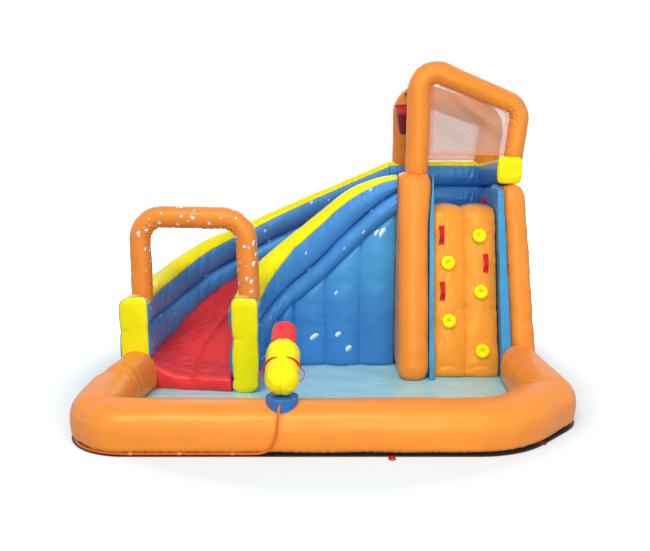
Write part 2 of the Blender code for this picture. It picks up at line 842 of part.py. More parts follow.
def climbing_wall(finish):
    """Two sewn channels in front, drawn in at the head and the foot."""
    shares = [(share / 2, up) for share, up in CHANNEL_SHARES]
    shares += [(0.5 + share / 2, up) for share, up in CHANNEL_SHARES[1:]]
    rear = back(COLUMN_REAR_BACK)
    levels = (
        (BASE_Z, CLIMB_DRAW / 2), (BASE_Z + CLIMB_DRAW, 0), (CLIMB_HEIGHT - CLIMB_DRAW, 0),
        (CLIMB_HEIGHT - CLIMB_DRAW / 4, CLIMB_DRAW / 3), (CLIMB_HEIGHT, CLIMB_DRAW)
    )
    sections = []
    for level, draw in levels:
        left, right = fan(CLIMB_LEFT, level), fan(CLIMB_RIGHT, level)
        front = [
            (left + (right - left) * share, climb_front(level) + draw + CLIMB_CHANNEL_DEPTH * (1 - up), level)
            for share, up in shares
        ]
        sections.append(front + [(right, rear, level), (left, rear, level)])
    return chamber("climbing_wall", sections, finish, 0)


def platform(finish):
    """The floor of the tower, a pad with soft edges and one round corner at the back."""
    left, right = TOWER_LEFT_X, REAR_X - WALL_WIDTH / 2 - GAP
    front = back(COLUMN_REAR_BACK) + GAP
    high = PLATFORM_HEIGHT - GAP - GAP
    low = high - PLATFORM_THICK
    radius = REAR_CORNER_RADIUS - WALL_WIDTH / 2 - GAP
    corner_x, corner_y = REAR_X - REAR_CORNER_RADIUS, back(BED_BACK) + BOLSTER_OFFSET - REAR_CORNER_RADIUS
    soft = PLATFORM_BEVEL
    stops = [(left, corner_y + radius)]
    for k in range(CORNER_STEPS):
        angle = math.pi / 2 * k / CORNER_STEPS
        stops.append((corner_x + radius * math.sin(angle), corner_y + radius * math.cos(angle)))
    stops.append((right, corner_y))
    sections = []
    for x, rear in stops:
        ring = [
            (rear, high - soft), (rear - soft, high), (front + soft, high), (front, high - soft),
            (front, low + soft), (front + soft, low), (rear - soft, low), (rear, low + soft)
        ]
        sections.append([(x, y, z) for y, z in ring])
    return chamber("platform_floor", sections, finish, 0)


def climb_frame(channel, height):
    """Where a fitting sits on a channel's crown: its point, the outward normal and the way up."""
    left, right = fan(CLIMB_LEFT, height), fan(CLIMB_RIGHT, height)
    x = left + (right - left) * (0.25 + 0.5 * channel)
    slope = (CLIMB_TOP_BACK - CLIMB_BASE_BACK) / LEFT_COLUMN_HEIGHT
    up = Vector((0, slope, 1)).normalized()
    out = Vector((0, -1, slope)).normalized()
    return Vector((x, climb_front(height), height)), out, up


def foothold(name, channel, height, finish):
    """A round knob, turned from a profile, flat at the back."""
    centre, out, up = climb_frame(channel, height)
    r, d = FOOTHOLD_RADIUS, FOOTHOLD_DEPTH
    profile = [(0, d * 0.72), (r * 0.35, d * 0.78), (r * 0.55, d), (r * 0.82, d * 0.86), (r, d * 0.35), (r, 0), (0, 0)]
    mesh = bpy.data.meshes.new(name)
    mesh.from_pydata([(x, 0, z) for x, z in profile], [(i, i + 1) for i in range(len(profile) - 1)], [])
    item = place(name, mesh, finish)
    turn = item.modifiers.new("turned", "SCREW")
    turn.steps = turn.render_steps = FOOTHOLD_STEPS
    turn.use_merge_vertices = True
    turn.merge_threshold = 0.0001
    item.rotation_euler = out.to_track_quat("Z", "Y").to_euler()
    item.location = centre + out * GAP
    return item


def webbing_handle(name, centre, out, along, length, width, rise, finish):
    """A strap with both ends sewn down and its middle bowed clear for the fingers."""
    across = along.cross(out).normalized()
    count = HANDLE_POINTS
    patch = length * HANDLE_PATCH_SHARE
    path = [(-length / 2, 0.0), (-length / 2 + patch, 0.0)]
    for k in range(1, count):
        share = k / count
        path.append((-length / 2 + patch + (length - 2 * patch) * share, rise * math.sin(math.pi * share) ** 0.7))
    path += [(length / 2 - patch, 0.0), (length / 2, 0.0)]
    sections = []
    for i, (run, lift) in enumerate(path):
        ahead = Vector(path[min(i + 1, len(path) - 1)]) - Vector(path[max(i - 1, 0)])
        normal = Vector((-ahead.y, ahead.x)).normalized()
        if i in (0, 1, len(path) - 2, len(path) - 1):
            normal = Vector((0, 1))
        ring = []
        for side, layer in ((-1, 0), (1, 0), (1, 1), (-1, 1)):
            spot = Vector((run, lift)) + normal * (HANDLE_THICK * layer)
            ring.append(centre + along * spot.x + out * (spot.y + GAP) + across * (side * width / 2))
        sections.append(ring)
    return chamber(name, sections, finish)


# Tubes of the arch and the frames


def upright_route(feet, corner_radius):
    """A route in an upright plane, from (x, z) corners."""
    radii = [0] + [corner_radius] * (len(feet) - 2) + [0]
    return Route(feet, radii)


def frame_tube(name, route, place_of, radius, finish):
    """An open-ended fabric tube along an upright route; its feet are the air passages."""
    stops = route.stations(1, FRAME_ARC_STEP)
    sections = []
    for distance in stops:
        point, heading = route.at(distance)
        across = Vector((-heading.y, heading.x))
        ring = []
        for k in range(FRAME_SIDES):
            angle = 2 * math.pi * k / FRAME_SIDES
            spot = point + across * (radius * math.cos(angle))
            ring.append(place_of(spot.x, spot.y, radius * math.sin(angle)))
        sections.append(ring)
    bm = bmesh.new()
    rings = [[bm.verts.new(p) for p in section] for section in sections]
    for ring, following in zip(rings, rings[1:]):
        for i in range(len(ring)):
            j = (i + 1) % len(ring)
            bm.faces.new((ring[i], ring[j], following[j], following[i]))
    bmesh.ops.recalc_face_normals(bm, faces=bm.faces)
    middle = Vector(place_of(*route.at(route.length / 2)[0], 0))
    nearest = min(bm.faces, key=lambda face: (face.calc_center_median() - middle).length)
    if nearest.normal.dot(nearest.calc_center_median() - middle) < 0:
        bmesh.ops.reverse_faces(bm, faces=bm.faces)
    mesh = bpy.data.meshes.new(name)
    bm.to_mesh(mesh)
    bm.free()
    mesh.shade_smooth()
    item = place(name, mesh, finish)
    wall = item.modifiers.new("fabric", "SOLIDIFY")
    wall.thickness = FABRIC
    wall.offset = -1
    wall.use_even_offset = True
    return item


def spray_arch(finish):
    span = ARCH_RIGHT_X - ARCH_LEFT_X

    def place_of(x, z, depth):
        share = (x - ARCH_LEFT_X) / span
        y = back(ARCH_LEFT_BACK + (ARCH_RIGHT_BACK - ARCH_LEFT_BACK) * share)
        return (x, y + depth, z)

    left_foot = OUTER.crest(0) - FOOT_LAP
    right_foot = INNER.crest(0) - FOOT_LAP
    route = upright_route(
        (
            (ARCH_LEFT_X, left_foot), (ARCH_LEFT_X, ARCH_CENTRE_HEIGHT),
            (ARCH_RIGHT_X - ARCH_SPLAY, ARCH_CENTRE_HEIGHT), (ARCH_RIGHT_X, right_foot)
        ),
        ARCH_CORNER,
    )
    item = frame_tube("spray_arch", route, place_of, ARCH_RADIUS, finish)
    for name, bolster in (("outer_foot_cutter", OUTER), ("inner_foot_cutter", INNER)):
        cut(item, bolster.foot_cutter(name, 5))
    return item


def frame_route(x, foot, peak, knee_x, knee, far_x, far_foot):
    return upright_route(((x, foot), (x, peak), (knee_x, knee), (far_x, far_foot)), FRAME_CORNER)


FRONT_FRAME_ROUTE = frame_route(
    FRONT_FRAME_X, LEFT_COLUMN_HEIGHT + GAP, FRONT_FRAME_PEAK, FRONT_FRAME_KNEE_X, FRONT_FRAME_KNEE,
    FRONT_FRAME_FOOT_X, RIGHT_TOP - FOOT_LAP
)
REAR_FRAME_ROUTE = frame_route(
    REAR_FRAME_X, OUTER_TOP - FOOT_LAP, REAR_FRAME_PEAK, REAR_FRAME_KNEE_X, REAR_FRAME_KNEE,
    REAR_FRAME_FOOT_X, OUTER_TOP - FOOT_LAP
)


def tower_frame(name, route, distance_back, finish):
    def place_of(x, z, depth):
        return (x, back(distance_back) + depth, z)

    item = frame_tube(name, route, place_of, FRAME_RADIUS, finish)
    grow = GAP + GAP + TOP_PANEL_THICK + GAP
    tool = cutter(name + "_foot_cutter", [rear_section(d, 0, grow) for d in REAR_STATIONS])
    cut(item, tool)
    return item


def net(name, route, distance_back, foot, finish):
    """A flat net laced inside a frame: a hem all round and square gaps on a regular pitch."""
    inset = FRAME_RADIUS + GAP
    outline = []
    for distance in route.stations(2, FRAME_ARC_STEP):
        point, heading = route.at(distance)
        inward = Vector((heading.y, -heading.x))
        spot = point + inward * inset
        if spot.y > foot:
            outline.append((spot.x, spot.y))
    end, heading = route.at(route.length)
    end_x = end.x + heading.x * (foot - end.y) / heading.y - inset / abs(heading.y)
    outline = [(outline[0][0], foot)] + outline + [(end_x, foot)]
    curve = bpy.data.curves.new(name, "CURVE")
    curve.dimensions = "2D"
    curve.fill_mode = "BOTH"
    curve.extrude = NET_THICK / 2
    add_loop(curve, outline)
    left, right = min(p[0] for p in outline), max(p[0] for p in outline)
    top = max(p[1] for p in outline)
    columns = int((right - left - 2 * NET_HEM) / NET_PITCH)
    rows = int((top - foot - 2 * NET_HEM) / NET_PITCH)
    half = (NET_PITCH - NET_CORD) / 2
    for i in range(columns):
        for j in range(rows):
            x = left + NET_HEM + NET_PITCH * (i + 0.5)
            z = foot + NET_HEM + NET_PITCH * (j + 0.5)
            corners = [(x - half, z - half), (x + half, z - half), (x + half, z + half), (x - half, z + half)]
            if all(inside(corner, outline, NET_CORD) for corner in corners):
                add_loop(curve, corners)
    item = bpy.data.objects.new(name, curve)
    PARTS.objects.link(item)
    item.rotation_euler = (math.pi / 2, 0, 0)
    item.location = (0, back(distance_back), 0)
    bpy.context.view_layer.update()
    item = piece_from_curve(item)
    item.data.materials.append(finish)
    return item


def add_loop(curve, points):
    spline = curve.splines.new("POLY")
    spline.points.add(len(points) - 1)
    for target, (x, y) in zip(spline.points, points):
        target.co = (x, y, 0, 1)
    spline.use_cyclic_u = True


def inside(point, outline, margin):
    """True if the point is inside the outline by at least the margin."""
    x, y = point
    within = False
    for (ax, ay), (bx, by) in zip(outline, outline[1:] + outline[:1]):
        if (ay > y) != (by > y) and x < ax + (y - ay) * (bx - ax) / (by - ay):
            within = not within
        side = Vector((bx - ax, by - ay))
        if side.length == 0:
            continue
        along = min(max(Vector((x - ax, y - ay)).dot(side) / side.length_squared, 0.0), 1.0)
        if (Vector((ax, ay)) + side * along - Vector((x, y))).length < margin:
            return False
    return within


# Turned and round pieces


def turned(name, profile, steps, finish):
    mesh = bpy.data.meshes.new(name)
    mesh.from_pydata([(x, 0, z) for x, z in profile], [(i, i + 1) for i in range(len(profile) - 1)], [])
    item = place(name, mesh, finish)
    turn = item.modifiers.new("turned", "SCREW")
    turn.steps = turn.render_steps = steps
    turn.use_merge_vertices = True
    turn.merge_threshold = 0.0001
    turn.use_smooth_shade = True
    return item


def rod(name, radius, length, finish, sides=16, collection=None):
    bm = bmesh.new()
    bmesh.ops.create_cone(
        bm, cap_ends=True, cap_tris=False, segments=sides, radius1=radius, radius2=radius, depth=length
    )
    return place(name, mesh_from(bm, name), finish, collection)


def bucket(finish):
    """A fabric bucket with a rolled rim, open at the top, bored for its axle."""
    top, foot, wall, rim = BUCKET_TOP_RADIUS, BUCKET_FOOT_RADIUS, BUCKET_WALL, BUCKET_RIM
    tall = BUCKET_HEIGHT
    profile = [
        (0, wall), (foot - wall, wall), (top - wall, tall - rim), (top - wall, tall), (top + rim, tall),
        (top + rim, tall - rim * 2), (top, tall - rim * 2), (foot, wall), (foot - wall, 0), (0, 0)
    ]
    item = turned("tipping_bucket", profile, BUCKET_STEPS, finish)
    drop = BUCKET_FOOT - AXLE_HEIGHT
    for vert in item.data.vertices:
        vert.co.z += drop
    tool = rod("axle_bore", AXLE_RADIUS + AXLE_CLEARANCE, 2 * (top + CUT_OVERRUN), None, 16, CUTTERS)
    tool.hide_render = True
    tool.display_type = "WIRE"
    tool.rotation_euler = (math.pi / 2, 0, 0)
    centre = (bucket_x(), bucket_y(), AXLE_HEIGHT)
    tool.location = centre
    item.location = centre
    cut(item, tool)
    return item


def bucket_x():
    return (FRONT_FRAME_X + REAR_FRAME_X) / 2


def bucket_y():
    return back((FRONT_FRAME_BACK + REAR_FRAME_BACK) / 2)


def post_face(route, radius, x, height, half_width):
    """How far a frame tube's skin stands from its middle plane beside this place."""
    near = radius
    spots = [route.at(distance)[0] for distance in route.stations(1, FRAME_ARC_STEP)]
    for begin, end in zip(spots, spots[1:]):
        side = end - begin
        for aside in (x - half_width, x, x + half_width):
            place = Vector((aside, height))
            along = min(max((place - begin).dot(side) / side.length_squared, 0.0), 1.0)
            near = min(near, (begin + side * along - place).length)
    return radius - near * math.tan(math.pi / FRAME_SIDES) + GAP


def between_frames(name, half_width, half_height, front_height, rear_height, finish):
    """A bar or strap from one frame's left post to the other's, with its ends on their skins."""
    x = bucket_x()
    front_face = post_face(FRONT_FRAME_ROUTE, FRAME_RADIUS, x, front_height, half_width)
    rear_face = post_face(REAR_FRAME_ROUTE, FRAME_RADIUS, x, rear_height, half_width)
    ends = (
        (back(FRONT_FRAME_BACK) + front_face, front_height), (back(REAR_FRAME_BACK) - rear_face, rear_height)
    )
    sections = []
    for y, height in ends:
        ring = []
        for k in range(FRAME_SIDES):
            angle = 2 * math.pi * (k + 0.5) / FRAME_SIDES
            ring.append((x + half_width * math.cos(angle), y, height + half_height * math.sin(angle)))
        sections.append(ring)
    return chamber(name, sections, finish)


def filler(finish):
    """The spout that fills the bucket, hung under the strap, clear of the rim as it tips."""
    middle = (TIE_STRAP_FRONT + TIE_STRAP_REAR) / 2
    top = middle - TIE_STRAP_THICK / 2 - FILLER_DROP
    foot = top - FILLER_LENGTH
    ceiling = top - FILLER_BORE / 4
    profile = [
        (0, top), (FILLER_RADIUS, top), (FILLER_RADIUS, foot), (FILLER_BORE, foot), (FILLER_BORE, ceiling),
        (0, ceiling)
    ]
    item = turned("bucket_filler", profile, FRAME_SIDES, finish)
    item.location = (bucket_x(), bucket_y(), 0)
    return item


# Water cannon


YAW_POINT = Vector((CANNON_X, back(CANNON_BACK), 0))
COLLAR_TOP = CANNON_BASE_TOP + GAP + COLLAR_THICK
PITCH_POINT = Vector((CANNON_X, back(CANNON_BACK), COLLAR_TOP + BARREL_SEAT + BARREL_RADIUS))


def empty_at(name, point):
    item = bpy.data.objects.new(name, None)
    PARTS.objects.link(item)
    item.location = point
    return item


def hang_on(item, parent, point):
    item.parent = parent
    item.matrix_parent_inverse = Matrix.Translation(point).inverted()


def pool_section(half_width, tall, place_of):
    """The pool wall's section, flat under, from the table of shares and its mirror."""
    right = [(across * half_width, up * tall) for across, up in POOL_SECTION_SHARES]
    ring = right + [(-across, up) for across, up in reversed(right[:-1])]
    return [place_of(across, BASE_Z + up) for across, up in ring]


def cannon_base(finish):
    """A short upright drum, seated over the round of the pool wall."""
    foot = BASE_Z + POOL_TUBE_HEIGHT * 0.6
    item = rod("cannon_base", CANNON_BASE_RADIUS, CANNON_BASE_TOP - foot, finish, BARREL_SIDES)
    item.location = YAW_POINT + Vector((0, 0, (CANNON_BASE_TOP + foot) / 2))
    reach = CANNON_BASE_RADIUS + CUT_OVERRUN
    sections = []
    for x in (CANNON_X - reach, CANNON_X + reach):
        sections.append(
            pool_section(
                POOL_TUBE_WIDTH / 2 + GAP, POOL_TUBE_HEIGHT + GAP,
                lambda across, height, x=x: (x, back(POOL_TUBE_WIDTH / 2) + across, height),
            )
        )
    cut(item, cutter("pool_wall_cutter", sections))
    return item


def cannon_turn():
    """Turns the barrel's own +Z to where the cannon points at rest."""
    return Matrix.Rotation(-(math.pi / 2 - BARREL_TILT), 4, "X")


def cannon_barrel(finish):
    """The barrel: a round-ended body, turned about its own length."""
    r, reach = BARREL_RADIUS, BARREL_REACH
    steps = 7
    profile = [(r * math.cos(a), reach + r * math.sin(a)) for a in np.linspace(math.pi / 2, 0, steps)]
    profile += [(r * math.cos(a), r * math.sin(a)) for a in np.linspace(0, -math.pi / 2, steps)]
    profile[0], profile[-1] = (0, reach + r), (0, -r)
    neck = NOZZLE_RADIUS * 0.86
    floor = reach + math.sqrt(r * r - neck * neck)
    profile = [(0, floor), (neck, floor)] + [p for p in profile if p[1] < floor - GAP]
    item = turned("cannon_barrel", profile, BARREL_SIDES, finish)
    item.matrix_world = Matrix.Translation(PITCH_POINT) @ cannon_turn()
    return item, floor


def cannon_nozzle(floor, finish):
    """The nozzle: a cup over the barrel's nose with a small spout in its floor."""
    r, wall = NOZZLE_RADIUS, NOZZLE_WALL
    foot, mouth = floor + GAP, floor + NOZZLE_LENGTH
    small = r * NOZZLE_TAPER_SHARE
    profile = [
        (0, foot + wall), (SPOUT_RADIUS, foot + wall), (small - wall, foot + wall + wall), (small - wall, mouth),
        (small, mouth), (r * 0.86, foot + wall), (r * 0.86, foot), (0, foot)
    ]
    item = turned("cannon_nozzle", profile, BARREL_SIDES, finish)
    item.matrix_world = Matrix.Translation(PITCH_POINT) @ cannon_turn()
    return item


def cannon_handle(name, side, finish):
    """A webbing loop on the barrel's flank."""
    turn = cannon_turn().to_3x3()
    along = turn @ Vector((0, 0, 1))
    out = Vector((side, 0, 0))
    centre = PITCH_POINT + along * CANNON_HANDLE_AHEAD + out * BARREL_RADIUS
    return webbing_handle(
        name, centre, out, along, CANNON_HANDLE_LENGTH, CANNON_HANDLE_WIDTH, CANNON_HANDLE_RISE, finish
    )


# Hose


def smooth_route(points, spacing):
    """Evenly spaced points on one smooth curve through the route's own points."""
    fine = []
    knots = [Vector(p) for p in points]
    knots = [knots[0] * 2 - knots[1]] + knots + [knots[-1] * 2 - knots[-2]]
    for a, b, c, d in zip(knots, knots[1:], knots[2:], knots[3:]):
        for k in range(20):
            t = k / 20
            fine.append(
                0.5 * (2 * b + (c - a) * t + (2 * a - 5 * b + 4 * c - d) * t**2 + (3 * b - a - 3 * c + d) * t**3)
            )
    fine.append(knots[-2])
    run = [0.0]
    for before, after in zip(fine, fine[1:]):
        run.append(run[-1] + (after - before).length)
    count = max(2, round(run[-1] / spacing))
    wanted = np.linspace(0, run[-1], count + 1)
    return [
        Vector([float(np.interp(w, run, [p[axis] for p in fine])) for axis in range(3)]) for w in wanted
    ]


def hose_tube(name, points, radius, finish):
    curve = bpy.data.curves.new(name, "CURVE")
    curve.dimensions = "3D"
    curve.bevel_depth = radius
    curve.bevel_resolution = 2
    curve.use_fill_caps = True
    spline = curve.splines.new("POLY")
    spline.points.add(len(points) - 1)
    for target, point in zip(spline.points, points):
        target.co = (*point, 1)
    curve.materials.append(finish)
    item = bpy.data.objects.new(name, curve)
    PARTS.objects.link(item)
    return item


def beside_wall(x, distance_back, height):
    """A place of the hose, kept at its distance from the pool wall's foot."""
    shift = POOL_TUBE_WIDTH / 2 * (1 - POOL_SECTION_SHARES[0][0]) - HOSE_FOOT
    start, end = HOSE_BEND
    left = min(1.0, max(0.0, (x - start) / (end - start)))
    low = min(1.0, max(0.0, 2 - height / HOSE_LOW))
    return x + shift * low * left, distance_back + shift * low * (1 - left)


def from_front(points):
    found = []
    for x, distance_back, height in points:
        x, distance_back = beside_wall(x, distance_back, height)
        found.append((x, back(distance_back), height))
    return found


def hose_connector(finish):
    """The tap connector on the hose's end, turned, with two grip rings."""
    end, before = (Vector(p) for p in from_front(HOSE_POINTS)[:-3:-1])
    ahead = (end - before).normalized()
    r, length = CONNECTOR_RADIUS, CONNECTOR_LENGTH
    small = r * 0.8
    bore = r * 0.45
    profile = [
        (0, length * 0.5), (bore, length * 0.5), (bore, length), (small, length), (small, length * 0.8),
        (r, length * 0.75), (r, length * 0.45), (small, length * 0.4), (small, length * 0.3), (r, length * 0.25),
        (r, length * 0.05), (small, 0), (0, 0)
    ]
    item = turned("hose_connector", profile, FRAME_SIDES, finish)
    item.rotation_euler = ahead.to_track_quat("Z", "Y").to_euler()
    item.location = end + ahead * GAP
    return item


def hose_loop(name, place_of_loop, finish):
    """A webbing loop round the hose, sewn to the ground sheet."""
    x, distance_back, along_side = place_of_loop
    x, distance_back = beside_wall(x, distance_back, HOSE_REST)
    bore = HOSE_RADIUS + LOOP_CLEARANCE
    turns = oval_angles(LOOP_SIDES)
    inner, outer = (r / math.cos(math.pi / LOOP_SIDES) for r in (bore, bore + LOOP_WALL))
    sections, bore_sections = [], []
    for side in (-1, 1):
        for found, radius, reach in ((sections, outer, 0), (bore_sections, inner, CUT_OVERRUN)):
            end = side * (LOOP_WIDTH / 2 + reach)
            ring = []
            for angle in turns:
                across, up = radius * math.cos(angle), radius * math.sin(angle)
                spot = (across, end) if along_side else (end, across)
                ring.append((x + spot[0], back(distance_back) + spot[1], HOSE_REST + up))
            found.append(ring)
    item = chamber(name, sections, finish)
    cut(item, cutter(name + "_bore", bore_sections))
    return item


# Sheets and small fittings


POOL_LEFT_X = -(POOL_WIDTH - POOL_TUBE_WIDTH) / 2
POOL_RIGHT_X = (POOL_WIDTH - POOL_TUBE_WIDTH) / 2
POOL_LEFT_END_X = BED_X - BOLSTER_OFFSET


def mouth_y(x):
    """World Y of the mouth's skewed plane at this x."""
    return back(MOUTH_BACK) - MOUTH_SKEW_SHARE * (x - BED_X)


def column_face(height):
    return lean(height, COLUMN_BASE_BACK, COLUMN_TOP_BACK)


POOL_ROUTE = Route(
    (
        (POOL_LEFT_END_X, mouth_y(POOL_LEFT_END_X)),
        (POOL_LEFT_X, back(POOL_LEFT_BEND_BACK)),
        (POOL_LEFT_X, back(POOL_TUBE_WIDTH / 2)),
        (POOL_RIGHT_X, back(POOL_TUBE_WIDTH / 2)),
        (POOL_RIGHT_X, back(POOL_RIGHT_BEND_BACK)),
        ((RIGHT_COLUMN_LEFT + RIGHT_COLUMN_RIGHT) / 2, column_face(BASE_Z)),
    ),
    (0, POOL_LEFT_RADIUS, POOL_LEFT_RADIUS, POOL_RIGHT_RADIUS, POOL_LEFT_RADIUS, 0),
)


def pool_width_share(distance):
    """The arms narrow over their last runs."""
    first, last = POOL_ROUTE.lengths[0], POOL_ROUTE.lengths[-1]
    near = min(distance / first, (POOL_ROUTE.length - distance) / last, 1.0)
    return POOL_END_SHARE + (1 - POOL_END_SHARE) * near


def pool_wall(finish):
    stops = POOL_ROUTE.stations(1, math.radians(15))
    sections = []
    for k, distance in enumerate(stops):
        point, heading = POOL_ROUTE.at(distance)
        right_of = Vector((heading.y, -heading.x))
        half = POOL_TUBE_WIDTH / 2 * pool_width_share(distance)

        def place_of(across, height, k=k, point=point, right_of=right_of):
            spot = point + right_of * across
            if k == 0:
                return (spot.x, mouth_y(spot.x) - CAP_DEPTH - GAP, height)
            if k == len(stops) - 1:
                return (spot.x, column_face(height) - GAP, height)
            return (spot.x, spot.y, height)

        sections.append(pool_section(half, POOL_TUBE_HEIGHT, place_of))
    return chamber("pool_wall", sections, finish, -1)


def footprint(margin):
    """The outline of the sheets: round the pool wall's foot, the tower and the slide."""
    foot = POOL_TUBE_WIDTH / 2 * POOL_SECTION_SHARES[0][0]
    points = []
    for distance in POOL_ROUTE.stations(1, math.radians(18))[1:-1]:
        point, heading = POOL_ROUTE.at(distance)
        outward = Vector((heading.y, -heading.x))
        half = foot * pool_width_share(distance)
        points.append(point + outward * (half + margin))
    half_wall = WALL_WIDTH / 2 + margin
    points.append(Vector((fan(RIGHT_COLUMN_RIGHT, BASE_Z) + margin, column_face(BASE_Z) + COLUMN_ROUND)))
    points.append(Vector((fan(RIGHT_COLUMN_RIGHT, BASE_Z) + margin, back(COLUMN_REAR_BACK) + margin)))
    rear = back(BED_BACK) + BOLSTER_OFFSET + half_wall
    points.append(Vector((REAR_X + half_wall, back(COLUMN_REAR_BACK) + margin)))
    points.append(Vector((REAR_X + half_wall, rear)))
    for k in range(SLIDE_STEPS, -1, -1):
        x, y, _ = slide_point(k / SLIDE_STEPS, OUTER.offset + half_wall, 0)
        points.append(Vector((x, y)))
    return [(p.x, p.y) for p in points]


def sheet(name, outline, low, thick, finish):
    bm = bmesh.new()
    face = bm.faces.new([bm.verts.new((x, y, low)) for x, y in outline])
    grown = bmesh.ops.extrude_face_region(bm, geom=[face])
    tops = [item for item in grown["geom"] if isinstance(item, bmesh.types.BMVert)]
    bmesh.ops.translate(bm, vec=(0, 0, thick), verts=tops)
    bmesh.ops.recalc_face_normals(bm, faces=bm.faces)
    return place(name, mesh_from(bm, name), finish)


def sheet_edge(x, distance_back):
    """The nearest place on the ground sheet's edge, and the way out from it."""
    target = Vector((x, back(distance_back)))
    points = [Vector(point) for point in footprint(SHEET_MARGIN)]
    middle = sum(points, Vector((0, 0))) / len(points)
    found = []
    for start, end in zip(points, points[1:] + points[:1]):
        edge = end - start
        share = max(0.3, min(0.7, (target - start).dot(edge) / edge.length_squared))
        spot = start + edge * share
        out = Vector((edge.y, -edge.x)).normalized()
        if out.dot(spot - middle) < 0:
            out = -out
        found.append(((spot - target).length, spot, out))
    _, spot, out = min(found, key=lambda row: row[0])
    return spot, out


def anchor(name, point, out, finish):
    """A webbing tab at the sheet's edge with a hole for a ground stake."""
    across = Vector((-out.y, out.x))
    half = ANCHOR_WIDTH / 2
    curve = bpy.data.curves.new(name, "CURVE")
    curve.dimensions = "2D"
    curve.fill_mode = "BOTH"
    curve.extrude = SHEET_THICK / 2
    corners = [(0, -half), (ANCHOR_LENGTH * 0.7, -half), (ANCHOR_LENGTH, -half * 0.5), (ANCHOR_LENGTH, half * 0.5),
               (ANCHOR_LENGTH * 0.7, half), (0, half)]
    add_loop(curve, [tuple(point + out * (a + GAP) + across * b) for a, b in corners])
    hole = [
        (ANCHOR_LENGTH * 0.72 + ANCHOR_HOLE * math.cos(2 * math.pi * k / 10), ANCHOR_HOLE * math.sin(2 * math.pi * k / 10))
        for k in range(10)
    ]
    add_loop(curve, [tuple(point + out * (a + GAP) + across * b) for a, b in hole])
    item = bpy.data.objects.new(name, curve)
    item.location = (0, 0, SHEET_THICK / 2)
    PARTS.objects.link(item)
    bpy.context.view_layer.update()
    item = piece_from_curve(item)
    item.data.materials.append(finish)
    return item


def air_sleeve(panels, finish):
    """The open sleeve that the blower ties into, set through the skin of the back panel."""
    r, wall, length = SLEEVE_RADIUS, SLEEVE_WALL, SLEEVE_LENGTH + SLEEVE_SET
    wide, waist = r * SLEEVE_FLARE_SHARE, r * SLEEVE_WAIST_SHARE
    near, far = SLEEVE_SET + SLEEVE_LENGTH * 0.45, SLEEVE_SET + SLEEVE_LENGTH * 0.55
    profile = [
        (r - wall, 0), (waist - wall, near), (waist - wall, far), (wide - wall, length), (wide, length),
        (waist, far), (waist, near), (r, SLEEVE_SET * 1.2), (r, 0), (r - wall, 0)
    ]
    item = turned("air_inlet_sleeve", profile, FRAME_SIDES + 4, finish)
    face = back(BED_BACK) + BOLSTER_OFFSET + WALL_WIDTH / 2
    item.rotation_euler = (-math.pi / 2, 0, 0)
    item.location = (SLEEVE_X, face - SLEEVE_SET, SLEEVE_HEIGHT)
    tool = rod("sleeve_bore", r + GAP, 2 * SLEEVE_SET, None, FRAME_SIDES + 4, CUTTERS)
    tool.hide_render = True
    tool.display_type = "WIRE"
    tool.rotation_euler = (-math.pi / 2, 0, 0)
    tool.location = (SLEEVE_X, face, SLEEVE_HEIGHT)
    cut(panels, tool)
    return item


def deflation_flap(finish):
    """The zipped flap over the deflation opening, bent over the crown of its channel."""
    sections = []
    crown = SLIDE_STEPS - 1
    for side in (-1, 0, 1):
        share = (crown + side * FLAP_SHARE) / SLIDE_STEPS
        half = WALL_WIDTH / 2 * (1 - (1 - WALL_PINCH_SHARE) * abs(side) * FLAP_SHARE) + GAP
        low, high = FLAP_HEIGHT - FLAP_TALL / 2, FLAP_HEIGHT + FLAP_TALL / 2
        ring = [(half, low), (half + FLAP_THICK, low), (half + FLAP_THICK, high), (half, high)]
        sections.append([slide_point(share, OUTER.offset + across, height) for across, height in ring])
    return chamber("deflation_flap", sections, finish)


# Assembly


def build_base():
    orange = fabric("orange_fabric", ORANGE)
    sheet("ground_sheet", footprint(SHEET_MARGIN), 0, SHEET_THICK, fabric("black_sheet", BLACK, 0.6))
    sheet("pool_floor", footprint(-FLOOR_INSET), FLOOR_BASE, FLOOR_THICK, fabric("aqua_sheet", AQUA, 0.4))
    pool_wall(orange)


def build_slide():
    blue = fabric("blue_fabric", BLUE)
    yellow = fabric("yellow_fabric", YELLOW)
    orange = fabric("orange_fabric", ORANGE)
    slide_bed(fabric("red_fabric", RED, 0.4))
    side_wall("inner_side_wall", INNER, blue)
    side_wall("outer_side_wall", OUTER, orange)
    for bolster, side in ((INNER, "inner"), (OUTER, "outer")):
        bolster.tube(side + "_bolster_upper", 0, blue)
        bolster.tube(side + "_bolster_lower", 1, blue)
        bolster.top_panel(side + "_top_panel", yellow)
    outer_lobes = [OUTER.tube_span(0, 0), OUTER.tube_span(0, 1)]
    OUTER.cap("left_end_cap", outer_lobes, yellow)
    inner_lobes = [INNER.tube_span(0, 0), (BASE_Z, INNER.tube_span(0, 0)[0])]
    INNER.cap("right_end_cap", inner_lobes, yellow)
    spray_arch(orange)


